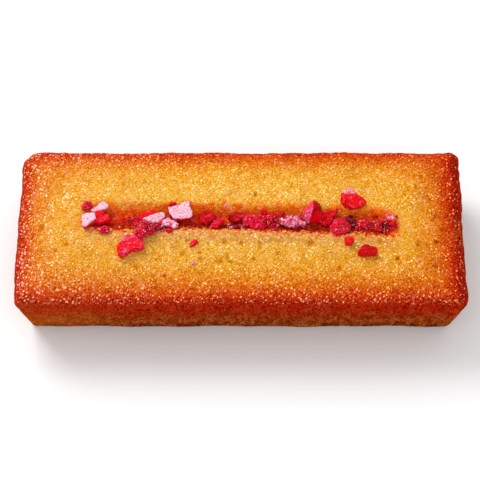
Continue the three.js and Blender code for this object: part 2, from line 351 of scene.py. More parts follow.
@dataclass(frozen=True)
class WallColours:
    """The walls, which the tin made smooth: red under the rim, brown with pale flecks below."""

    rise: Stops = (
        (0.0, surface(88, 23, 2)),
        (0.06, surface(134, 46, 4)),
        (0.3, surface(159, 63, 9)),
        (0.6, surface(169, 53, 7)),
        (0.85, surface(177, 41, 6)),
        (1.0, surface(186, 33, 4)),
    )
    dark: Tint = Tint(srgb(160, 100, 70), 0.46, 0.6, 0.9, "MULTIPLY")
    grain: Tint = Tint(srgb(135, 73, 39), 0.3, 0.9, 0.6, "SCREEN")
    gold: Tint = Tint(srgb(101, 48, 8), 0.75, 1.0, blend="SCREEN")
    fleck: Tint = Tint(surface(220, 124, 62), 0.4, 0.9)
    height: float = 12.0
    stretch: Point3 = (1.0, 1.0, 0.42)
    blotch_share: float = 0.4
    fine_size: float = 0.36
    fine_share: float = 0.6
    grain_size: float = 0.45
    grain_range: Range = (0.1, 0.5)
    gold_share: float = 1.3
    fleck_size: float = 0.62
    fleck_thinness: float = 9.0
    fleck_patch_size: float = 1.5
    fleck_patches: Range = (0.42, 0.58)
    fleck_share: float = 0.65
    fleck_loss: float = 0.5

    def build(self, graph: Graph, place: Value, blotch: Value) -> Value:
        """Works out the walls' colour.

        Args:
            graph: The crust's graph.
            place: The point on the piece.
            blotch: Broad noise round 0.

        Returns:
            The colour.
        """
        tall = graph.stretched(place, self.stretch)
        fine = graph.noise(tall, self.fine_size, roughness=0.6)
        rise = graph.part(place, "Z") * (1 / self.height) + self.blotch_share * blotch
        rise += self.fine_share * (fine - 0.5)
        colour = graph.ramp(rise.clamped(), self.rise)
        colour = self.dark.over(graph, 1 - fine, colour)
        grain = 1 - graph.cells(tall, self.grain_size, "Distance").step(*self.grain_range)
        colour = self.grain.over(graph, graph.cell_draw(tall, self.grain_size), colour, grain)
        # Lighter and golder towards the left end, as far as the painted glint strength reaches the lower
        # walls.
        colour = self.gold.over(graph, graph.attribute("sparkle"), colour, (self.gold_share - rise).clamped())
        ridge = 1 - ((graph.noise(tall, self.fleck_size) - 0.5) * self.fleck_thinness) ** 2
        fleck = graph.noise(tall, self.fleck_patch_size).step(*self.fleck_patches)
        fleck *= (self.fleck_share - self.fleck_loss * rise).clamped()
        return self.fleck.over(graph, ridge, colour, fleck)


class GrainBed:
    """The crust's grains: cells that are drawn out along a slant."""

    SIZE = 0.39
    SLANT = 54.0
    STRETCH = 1.7

    def __init__(self, graph: Graph, place: Value) -> None:
        """Lays the grains out from a point on the piece."""
        self.graph = graph
        self.place = graph.slanted(place, self.SLANT, self.STRETCH)

    def draw(self, channel: str) -> Value:
        """One random number for each grain; each channel has its own."""
        return self.graph.cell_draw(self.place, self.SIZE, channel)

    def distance(self) -> Value:
        """Distance from the middle of the nearest grain."""
        return self.graph.cells(self.place, self.SIZE, "Distance")


@dataclass(frozen=True)
class GlintPattern:
    """Painted glints: highlights painted into the crumb's colour on bright grains, some drawn out into short
    strokes, and fine painted specks of highlight.
    """

    rim_gain: float = 0.34
    rim_loss: float = 0.2
    reach_stray: float = 0.24
    dot_range: Range = (0.24, 0.36)
    dot_draws: Range = (0.54, 0.74)
    dot_share: float = 0.8
    speck_range: Range = (0.55, 0.66)
    speck_share: float = 0.42
    speck_loss: float = 0.3
    stroke_size: float = 0.45
    stroke_range: Range = (0.6, 0.68)
    stroke_share: float = 0.35
    stroke_rim_gain: float = 0.8
    stroke_rim_loss: float = 0.3
    bunch_size: float = 2.1
    bunch_range: Range = (0.46, 0.6)
    bunch_least: float = 0.3
    bunch_gain: float = 0.4
    stained_shaded_range: Range = (0.03, 0.4)
    stained_shaded_dot_loss: float = 0.7
    stained_shaded_speck_loss: float = 0.9

    def build(
        self, graph: Graph, place: Value, grains: GrainBed, fine: Value, edge: Value, stain: Value
    ) -> tuple[Value, Value]:
        """Works out where the painted glints go.

        Args:
            graph: The crust's graph.
            place: The point on the piece.
            grains: The crust's grains.
            fine: Fine noise.
            edge: 1 at the rim, falling to 0 further in.
            stain: How far the crumb is stained with juice and painted with the berries' shadow.

        Returns:
            How far each point carries a painted glint, and how far a painted speck of highlight, 0 to 1.
        """
        rim = edge * graph.attribute("sparkle")
        draw = grains.draw("Red") + self.rim_gain * rim - self.rim_loss * edge
        reach = grains.distance() + self.reach_stray * (grains.draw("Green") - 0.5)
        glint_dots = (1 - reach.step(*self.dot_range)) * draw.step(*self.dot_draws)
        glint_dots *= self.dot_share + (1 - self.dot_share) * edge
        glint_specks = fine.step(*self.speck_range) * (self.speck_share - self.speck_loss * edge)
        strokes = graph.noise(grains.place, self.stroke_size, detail=1.0).step(*self.stroke_range)
        bunch = graph.noise(place, self.bunch_size).step(*self.bunch_range)
        strokes *= self.bunch_least + self.bunch_gain * bunch
        glint_dots += strokes * (self.stroke_share + self.stroke_rim_gain * rim - self.stroke_rim_loss * edge)
        stained_and_shaded = stain.step(*self.stained_shaded_range)
        glint_dots *= 1 - self.stained_shaded_dot_loss * stained_and_shaded
        return glint_dots.clamped(), glint_specks * (1 - self.stained_shaded_speck_loss * stained_and_shaded)


@dataclass(frozen=True)
class CrustFinish:
    """Baked crumb: gold in the middle of the top, red-brown at the rim, with painted glints, and painted
    shade between its grains and in its pores.
    """

    inset_range: float = 16.0
    top: Stops = (
        (0.0, surface(164, 20, 3)),
        (0.07, surface(194, 41, 5)),
        (0.15, surface(211, 72, 9)),
        (0.32, surface(224, 126, 22)),
        (0.5, surface(230, 160, 46)),
        (0.75, surface(232, 172, 66)),
        (1.0, surface(229, 164, 65)),
    )
    # Juice stain with painted shadow: darkest where the berries' shadow falls on the floor; the palest stops
    # are painted light on the far wall's shaded upper part.
    stain: Stops = (
        (0.0, surface(252, 177, 63)),
        (0.3, surface(250, 140, 36)),
        (0.5, surface(240, 100, 13)),
        (0.75, surface(223, 55, 7)),
        (1.0, surface(167, 17, 2)),
    )
    # The glints are painted highlights: these tints are screened over the crumb's colour.
    glint: Stops = (
        (0.0, srgb(255, 132, 83)),
        (0.16, srgb(255, 148, 75)),
        (0.4, srgb(255, 192, 112)),
        (1.0, srgb(255, 212, 152)),
    )
    # Whiter painted glints towards the left end, nearest the key light.
    left_glint: Colour = srgb(255, 181, 150)
    # Painted shade between the fine grains, deeper at the rim.
    valley: Tint = Tint(srgb(208, 172, 80), 0.5, 0.62, 0.8, "MULTIPLY")
    rim_valley_shade: Tint = Tint(srgb(168, 138, 138), 0.5, 0.62, 0.8, "MULTIPLY")
    ochre: Tint = Tint(srgb(253, 245, 148), 0.48, 0.64, 0.9, "MULTIPLY")
    yellow: Tint = Tint(srgb(254, 250, 176), 0.5, 0.62, 0.8, "MULTIPLY")
    peach: Tint = Tint(srgb(62, 64, 94), 0.54, 0.64, blend="SCREEN")
    dusting: Tint = Tint(surface(206, 138, 92), 0.3, 0.6, 0.75)
    pore_shade: Colour = srgb(228, 196, 30)
    deep_pore_shade: Colour = srgb(170, 120, 60)
    blotch_size: float = 3.2
    blotch_share: float = 0.14
    patch_size: float = 1.9
    mottle_size: float = 1.0
    mottle_share: float = 0.05
    fine_size: float = 0.3
    rim_range: Range = (0.05, 0.45)
    peach_patches: Range = (0.4, 0.6)
    peach_share: float = 0.55
    peach_rim_loss: float = 0.5
    lip_stain: float = 0.45
    lip_stray: float = 0.8
    lip_range: Range = (0.38, 0.62)
    deep_range: Range = (0.3, 0.8)
    stain_patch_size: float = 1.3
    stain_stray: float = 0.5
    stain_range: Range = (0.05, 0.4)
    wet_range: Range = (0.4, 0.75)
    pore_dulling: float = 0.9
    left_range: Range = (0.5, 1.0)
    left_share: float = 0.7
    grain_bump: float = 0.12
    fine_bump: float = 0.12
    wall_calm: float = 0.6
    roughness: float = 0.65
    glint_polish: float = 0.2
    glint_coat: float = 0.8
    coat_roughness: float = 0.22
    glints: GlintPattern = field(default_factory=GlintPattern)
    walls: WallColours = field(default_factory=WallColours)

    def build(self) -> bpy.types.Material:
        """Makes the material.

        Returns:
            The crust's material.
        """
        graph = Graph("cake_crust")
        place = graph.position()
        grains = GrainBed(graph, place)
        blotch = graph.noise(place, self.blotch_size, detail=3.0) - 0.5
        mottle = graph.noise(place, self.mottle_size, detail=3.0, roughness=0.6)
        fine = graph.noise(place, self.fine_size, roughness=0.6)
        inset = graph.attribute("inset") + self.blotch_share * blotch + self.mottle_share * (mottle - 0.5)
        browning_and_light = inset.clamped()
        edge = 1 - browning_and_light.step(*self.rim_range)
        stain = self._stain_and_shadow_share(graph, grains)
        colour = self._stained(graph, place, stain, graph.ramp(browning_and_light, self.top))
        colour = self._mottled(graph, place, mottle, fine, edge, colour)
        dry = 1 - stain.step(*self.wet_range)
        colour = self.dusting.over(graph, mottle, colour, graph.attribute("dusting") * dry)
        # Painted shade in pores, pits and cracks: a saturated ochre, darker still in the deep pores.
        shaded_hollow = graph.attribute("pore")
        pore = shaded_hollow.clamped()
        colour = graph.mix(pore, colour, self.pore_shade, "MULTIPLY")
        colour = graph.mix((shaded_hollow - 1).clamped(), colour, self.deep_pore_shade, "MULTIPLY")
        glint_dots, glint_specks = self.glints.build(graph, place, grains, fine, edge, stain)
        unbroken = 1 - self.pore_dulling * pore
        glint_dots *= unbroken
        glint_specks *= unbroken
        left = graph.attribute("sparkle").step(*self.left_range)
        tint = graph.mix(left * self.left_share, graph.ramp(browning_and_light, self.glint), self.left_glint)
        # Painted highlights screened over the crumb's colour; the same dots also set the coat's real gloss
        # below.
        colour = graph.mix((glint_dots + glint_specks).clamped(), colour, tint, "SCREEN")
        wall = graph.attribute("wall")
        colour = graph.mix(wall, colour, self.walls.build(graph, place, blotch))
        relief = graph.bump((1 - grains.distance()) * (1 - self.wall_calm * wall), self.grain_bump)
        relief = graph.bump(fine, self.fine_bump, relief)
        gloss = glint_dots * (1 - wall)
        return graph.finish(
            {
                "Base Color": colour,
                "Roughness": self.roughness - self.glint_polish * gloss,
                "Coat Weight": self.glint_coat * gloss,
                "Coat Roughness": self.coat_roughness,
                "Normal": relief,
                "Specular IOR Level": 0.0,
            }
        )

    def _stain_and_shadow_share(self, graph: Graph, grains: GrainBed) -> Value:
        """How far the crumb is stained with juice and painted with the berries' shadow, which ends at the
        near lip grain by grain.

        Args:
            graph: The material's graph.
            grains: The crust's grains.

        Returns:
            The share, 0 to 1.
        """
        bed = graph.attribute("bed")
        strength = self.lip_stain + (1 - self.lip_stain) * bed.step(*self.deep_range)
        inside = (bed + self.lip_stray * (grains.draw("Blue") - 0.5)).step(*self.lip_range)
        return graph.attribute("stain") * strength * inside

    def _stained(self, graph: Graph, place: Value, stain: Value, colour: Value) -> Value:
        """Colours the dimple: stained with berry juice at its floor and painted darker with the berries'
        shadow; its palest stops are painted light on the far wall's shaded upper part.

        Args:
            graph: The material's graph.
            place: The point on the piece.
            stain: How far the crumb is stained and painted with shadow.
            colour: The crust's colour so far.

        Returns:
            The colour with the stain.
        """
        patches = graph.noise(place, self.stain_patch_size, detail=4.0, roughness=0.6) - 0.5
        uneven = (stain + self.stain_stray * patches).clamped()
        return graph.mix(uneven.step(*self.stain_range), colour, graph.ramp(uneven, self.stain))

    def _mottled(
        self, graph: Graph, place: Value, mottle: Value, fine: Value, edge: Value, colour: Value
    ) -> Value:
        """Breaks the colour up with ochre, yellow and peach patches, and paints shade between the fine
        grains, deepest at the rim.

        Args:
            graph: The material's graph.
            place: The point on the piece.
            mottle: Noise of middle size.
            fine: Fine noise.
            edge: 1 at the rim, falling to 0 further in.
            colour: The crust's colour so far.

        Returns:
            The mottled colour.
        """
        patch = graph.noise(place, self.patch_size)
        colour = self.ochre.over(graph, 1 - mottle, colour)
        colour = self.valley.over(graph, 1 - fine, colour)
        colour = self.rim_valley_shade.over(graph, 1 - fine, colour, edge)
        colour = self.yellow.over(graph, 1 - patch, colour)
        peach = patch.step(*self.peach_patches) * (self.peach_share - self.peach_rim_loss * edge)
        return self.peach.over(graph, mottle, colour, peach)


@dataclass(frozen=True)
class BerryLook:
    """What berry finishes share: a warmer tint towards the bar's right end, which is painted warm light, and
    flesh that lets light in.
    """

    painted_warm_light: Tint = Tint(srgb(252, 246, 206), 12.0, 26.0, blend="MULTIPLY")
    shine: float = 0.07
    depth_share: float = 0.1
    depth: float = 0.3
    depth_by_colour: Point3 = (1.0, 0.25, 0.25)

    def finish(
        self, graph: Graph, place: Value, colour: Value, roughness: Value, relief: Value
    ) -> bpy.types.Material:
        """Closes a berry material.

        Args:
            graph: The material's graph.
            place: The point on the piece.
            colour: The berry's colour before the painted warm light.
            roughness: How matt it is.
            relief: The normals.

        Returns:
            The material.
        """
        return graph.finish(
            {
                "Base Color": self.painted_warm_light.over(graph, graph.part(place, "X"), colour),
                "Roughness": roughness,
                "Normal": relief,
                "Specular IOR Level": self.shine,
                "Subsurface Weight": self.depth_share,
                "Subsurface Radius": self.depth_by_colour,
                "Subsurface Scale": self.depth * MM,
            }
        )


@dataclass(frozen=True)
class SliceFinish:
    """Dried berry slice: red skin with painted glint specks, hot pink where it is torn, and pale porous
    flesh, as the mesh says.
    """

    skin_deep: Colour = surface(160, 0, 3)
    skin: Colour = surface(238, 4, 24)
    dark_specks: Tint = Tint(skin_deep, 0.54, 0.66, 0.45)
    # Painted highlights: light specks on the rough skin, fewer where it is dark.
    painted_glint_specks: Tint = Tint(surface(255, 150, 170), 0.6, 0.68, 0.7)
    flesh: Stops = (
        (0.0, surface(220, 6, 36)),
        (0.3, surface(236, 36, 74)),
        (0.55, surface(240, 88, 130)),
        (0.8, surface(242, 148, 182)),
        (1.0, surface(248, 188, 206)),
    )
    flesh_lights: Tint = Tint(surface(255, 240, 244), 0.5, 0.64, 0.55)
    flesh_darks: Tint = Tint(surface(206, 40, 92), 0.57, 0.66, 0.75)
    mottle_size: float = 0.8
    speck_size: float = 0.3
    pit_size: float = 0.45
    smooth_mottle: float = 0.3
    rough_mottle: float = 0.9
    flesh_mottle: float = 0.7
    flesh_stray: float = 0.4
    flesh_range: Range = (0.15, 0.35)
    palest_range: Range = (0.4, 1.0)
    pit_bump: float = 0.07
    speck_bump: float = 0.08
    smooth_roughness: float = 0.2
    rough_gain: float = 0.15
    flesh_gain: float = 0.35
    look: BerryLook = field(default_factory=BerryLook)

    def build(self) -> bpy.types.Material:
        """Makes the material.

        Returns:
            The slices' material.
        """
        graph = Graph("berry_slice")
        place = graph.position()
        mottle = graph.noise(place, self.mottle_size, detail=3.0, roughness=0.6)
        speck = graph.noise(place, self.speck_size, roughness=0.6)
        rough = 1 - graph.attribute("smooth")
        skin = self._skin(graph, mottle, speck, rough)
        pale = graph.attribute("flesh") + self.flesh_mottle * (mottle - 0.5)
        pale = (pale + self.flesh_stray * (speck - 0.5)).clamped()
        palest = pale.step(*self.palest_range)
        pith = self.flesh_lights.over(graph, speck, graph.ramp(pale, self.flesh), palest)
        pith = self.flesh_darks.over(graph, 1 - speck, pith)
        colour = graph.mix(pale.step(*self.flesh_range), skin, pith)
        pits = graph.cells(place, self.pit_size, "Distance")
        relief = graph.bump((1 - pits) * rough, self.pit_bump)
        relief = graph.bump(speck * rough, self.speck_bump, relief)
        roughness = self.smooth_roughness + self.rough_gain * rough + self.flesh_gain * pale
        return self.look.finish(graph, place, colour, roughness, relief)

    def _skin(self, graph: Graph, mottle: Value, speck: Value, rough: Value) -> Value:
        """Colours the skin.

        Args:
            graph: The material's graph.
            mottle: Noise of middle size.
            speck: Fine noise.
            rough: 0 where the skin is smooth, 1 where it is rough.

        Returns:
            The skin's colour.
        """
        uneven = (self.smooth_mottle + self.rough_mottle * rough) * (mottle - 0.5)
        shade = (graph.attribute("shade") + uneven).clamped()
        skin = graph.mix(shade, self.skin, self.skin_deep)
        skin = self.dark_specks.over(graph, 1 - speck, skin, rough)
        return self.painted_glint_specks.over(graph, speck, skin, rough * (1 - shade))


@dataclass(frozen=True)
class DrupeletFinish:
    """Dried drupelets: rough crimson grains, some dark as wine, dusted with pale specks."""

    wine: Colour = surface(112, 0, 20)
    bead: Colour = surface(230, 2, 36)
    bead_light: Tint = Tint(surface(255, 34, 84), 0.36, 0.66)
    dust: Colour = surface(255, 192, 194)
    mottle_size: float = 0.7
    speck_size: float = 0.3
    shade_stray: float = 0.6
    dust_specks: Range = (0.62, 0.68)
    dust_share: float = 0.9
    speck_bump: float = 0.12
    least_roughness: float = 0.35
    speck_roughness: float = 0.3
    look: BerryLook = field(default_factory=BerryLook)

    def build(self) -> bpy.types.Material:
        """Makes the material.

        Returns:
            The drupelets' material.
        """
        graph = Graph("berry_drupelet")
        place = graph.position()
        mottle = graph.noise(place, self.mottle_size, detail=3.0, roughness=0.6)
        speck = graph.noise(place, self.speck_size, roughness=0.6)
        shade = (graph.attribute("shade") + self.shade_stray * (mottle - 0.5)).clamped()
        dust = (graph.attribute("dust") + speck.step(*self.dust_specks)).clamped()
        colour = self.bead_light.over(graph, mottle, self.bead)
        colour = graph.mix(shade, colour, self.wine)
        colour = graph.mix(dust * self.dust_share, colour, self.dust)
        roughness = self.least_roughness + self.speck_roughness * speck
        return self.look.finish(graph, place, colour, roughness, graph.bump(speck, self.speck_bump))


@dataclass(frozen=True)
class SeedFinish:
    """Seeds and dark scraps of core."""

    dark: Colour = surface(84, 4, 22)
    pale: Colour = surface(150, 40, 60)
    speck_size: float = 0.3
    tone_stray: float = 0.4
    speck_bump: float = 0.05
    least_roughness: float = 0.4
    speck_roughness: float = 0.2
    shine: float = 0.15

    def build(self) -> bpy.types.Material:
        """Makes the material.

        Returns:
            The seeds' material.
        """
        graph = Graph("berry_seed")
        speck = graph.noise(graph.position(), self.speck_size)
        tone = (graph.attribute("shade") + self.tone_stray * (speck - 0.5)).clamped()
        return graph.finish(
            {
                "Base Color": graph.mix(tone, self.dark, self.pale),
                "Roughness": self.least_roughness + self.speck_roughness * speck,
                "Normal": graph.bump(speck, self.speck_bump),
                "Specular IOR Level": self.shine,
            }
        )


@dataclass(frozen=True)
class FloorFinish:
    """Plain pale paper."""

    colour: Colour = surface(248, 248, 248)
    roughness: float = 0.9

    def build(self) -> bpy.types.Material:
        """Makes the material.

        Returns:
            The floor's material.
        """
        sockets = {"Base Color": self.colour, "Roughness": self.roughness, "Specular IOR Level": 0.0}
        return Graph("floor").finish(sockets)


def seeded_numbers(seed: int) -> Iterator[float]:
    """A stream of numbers from 0 to 1, the same on every run and in the part's source.

    Args:
        seed: The stream's number.

    Yields:
        The next number.
    """
    modulus = 2147483647
    multiplier = 16807
    seed_stride = 7919
    seed_offset = 17
    state = seed * seed_stride + seed_offset
    while True:
        state = state * multiplier % modulus
        yield state / modulus


def facet(point: Vector, size: float) -> tuple[float, float]:
    """Height and tone of a broken surface: each of its facets is a tilted flat with a tone of its own.

    Args:
        point: The point on it.
        size: Size of the facets.

    Returns:
        The height and the tone, both about -1 to 1.
    """
    tone_stride = 7.3
    tilt_stride = 5.1
    nearest = noise.voronoi(point / size)[1][0]
    tone = 2 * noise.noise(nearest * tone_stride)
    tilt = noise.noise_vector(nearest * tilt_stride)
    return 0.5 * tone + 2 * tilt.dot(point / size - nearest), tone


def granules(point: Vector, size: float) -> float:
    """Heights of a surface of round grains.

    Args:
        point: The point on it.
        size: Size of the grains.

    Returns:
        The height, 1 on a grain's top and about 0 between grains.
    """
    fullness = 1.25
    distance = noise.voronoi(point / size)[0][0]
    return 1 - min(1.0, distance * fullness) ** 2


def layered_mesh(*names: str) -> bmesh.types.BMesh:
    """An empty mesh whose vertices hold a number under each name.

    Args:
        names: The names of the numbers.

    Returns:
        The mesh.
    """
    mesh = bmesh.new()
    for name in names:
        mesh.verts.layers.float.new(name)
    return mesh


def in_fixed_order(mesh: bmesh.types.BMesh) -> bmesh.types.BMesh:
    """Rebuilds a mesh with its vertices and faces sorted by place, as extruding leaves them in any order.

    What is worked out from the mesh afterwards is then the same on every run.

    Args:
        mesh: The mesh, which is freed. Its layers are lost.

    Returns:
        The same shape in a fixed order.
    """
    rings = []
    for face in mesh.faces:
        ring = [tuple(round(part, ORDER_DIGITS) for part in vert.co) for vert in face.verts]
        first = ring.index(min(ring))
        rings.append(ring[first:] + ring[:first])
    mesh.free()
    ordered = bmesh.new()
    places = sorted({place for ring in rings for place in ring})
    verts = {place: ordered.verts.new(place) for place in places}
    for ring in sorted(rings):
        ordered.faces.new([verts[place] for place in ring])
    return ordered


def finish_piece(
    meshes: Sequence[bmesh.types.BMesh], name: str, material: bpy.types.Material, slot: str
) -> bpy.types.Object:
    """Joins meshes into one piece that stands for the cake's solid, and frees them.

    Args:
        meshes: What the piece is made of, in millimetres and in place.
        name: The piece's name.
        material: Its finish.
        slot: The material slot for it; not used.

    Returns:
        The piece.
    """
    data = bpy.data.meshes.new(name)
    whole = bmesh.new()
    for mesh in meshes:
        mesh.to_mesh(data)
        mesh.free()
        whole.from_mesh(data)
    bmesh.ops.scale(whole, vec=(MM, MM, MM), verts=whole.verts)
    for face in whole.faces:
        face.smooth = True
    data.clear_geometry()
    whole.to_mesh(data)
    whole.free()
    data.materials.append(material)
    piece = bpy.data.objects.new(name, data)
    bpy.context.scene.collection.objects.link(piece)
    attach(piece, CAD_BODY)
    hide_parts(CAD_NODE)
    data.calc_loop_triangles()
    log.info("%s: %d triangles", name, len(data.loop_triangles))
    return piece


@dataclass
class Dimple:
    """The shallow valley along the top, which runs a little askew and thins out at its ends."""

    start: float = -32.5
    end: float = 32.5
    width: float = 6.6
    depth: float = 2.1
    middle_y: float = 0.5
    skew: float = -0.027
    end_power: float = 5.0
    wall_power: float = 1.5
    lip_height: float = 0.22
    lip_place: float = 1.35
    lip_spread: float = 0.35
    # The stain fields below shape the juice stain together with the painted shadow of the berries.
    stain_stray: float = 0.3
    stain_patches: tuple[Point2, ...] = ((0.0, 1.3), (5.0, 0.6))
    stain_back: float = 1.5
    stain_back_gain: float = 0.25
    stain_back_turn: Range = (-16.0, -9.0)
    stain_slope_end: float = -0.1
    stain_slope_share: float = 0.78
    stain_floor: Range = (0.1, -0.5)
    stain_ends: Range = (-0.15, 0.55)
    near_edge: float = -1.08
    near_spread: float = 1.0
    # Negative shifts carry the stain forward into the berries' shade as painted shadow, as at the right end
    # under the pale piece.
    near_shifts: tuple[Point3, ...] = (
        (-22.0, -12.0, 0.28),
        (-2.0, 3.0, -0.08),
        (8.0, 20.0, -0.1),
        (26.0, 30.0, -0.2),
    )
    dusting_place: float = 1.2
    dusting_spread: float = 0.5
    dusting_ends: Range = (0.0, 0.4)

    def across(self, x: float, y: float) -> float:
        """Place across the valley: 0 on its middle line, 1 at the back edge, -1 at the front one."""
        return (y - self.middle_y - self.skew * x) / (self.width / 2)

    def fade(self, x: float) -> float:
        """1 along the valley, falling to 0 at its ends."""
        along = (x - (self.start + self.end) / 2) / ((self.end - self.start) / 2)
        return max(0.0, 1 - abs(along) ** self.end_power)

    def depth_at(self, x: float, y: float) -> float:
        """Depth below the crowned top, negative on the raised lips.

        Args:
            x: Place along the bar.
            y: Place across it.

        Returns:
            The depth in millimetres.
        """
        across = self.across(x, y)
        valley = max(0.0, 1 - across * across) ** self.wall_power
        lips = math.exp(-(((abs(across) - self.lip_place) / self.lip_spread) ** 2))
        return self.fade(x) * (self.depth * valley - self.lip_height * lips)

    def stain_and_shadow_at(self, x: float, y: float) -> float:
        """How far the crumb is stained with juice and painted with the berries' shadow, but for the near
        edge: most on the floor and the near wall.

        Args:
            x: Place along the bar.
            y: Place across it.

        Returns:
            The share, 0 to 1.
        """
        across = self._strayed_across(x, y)
        back = self.stain_back + self.stain_back_gain * smoothstep(*self.stain_back_turn, x)
        slope = self.stain_slope_share * smoothstep(back, self.stain_slope_end, across)
        floor = (1 - self.stain_slope_share) * smoothstep(*self.stain_floor, across)
        return (slope + floor) * smoothstep(*self.stain_ends, self.fade(x))

    def bed_at(self, x: float, y: float) -> float:
        """Where the stain and its painted shadow end at the near lip: 0 outside it, a half at its edge and 1
        well inside.

        Args:
            x: Place along the bar.
            y: Place across it.

        Returns:
            The share, 0 to 1.
        """
        near = self.near_edge
        near += sum(shift * smoothstep(start, end, x) for start, end, shift in self.near_shifts)
        return min(1.0, max(0.0, 0.5 + (self._strayed_across(x, y) - near) / self.near_spread))

    def _strayed_across(self, x: float, y: float) -> float:
        """Place across the valley with the patches of the stain and its painted shadow, each of a layer of
        the noise and a size.
        """
        patches = sum(noise.noise(Vector((x, y, layer)) / size) for layer, size in self.stain_patches)
        return self.across(x, y) + self.stain_stray * patches

    def dusting_at(self, x: float, y: float) -> float:
        """How thickly fine pale crumbs lie on the near lip, 0 to 1."""
        off_middle = (self.across(x, y) + self.dusting_place) / self.dusting_spread
        return smoothstep(*self.dusting_ends, self.fade(x)) * math.exp(-(off_middle**2))


class Corner(Enum):
    """The bar's corners, by the signs of x and y."""

    BACK_LEFT = (-1, 1)
    BACK_RIGHT = (1, 1)
    FRONT_LEFT = (-1, -1)
    FRONT_RIGHT = (1, -1)

    @classmethod
    def of(cls, x: float, y: float) -> "Corner":
        """The corner in whose quarter a point lies."""
        return cls((1 if x >= 0 else -1, 1 if y > 0 else -1))


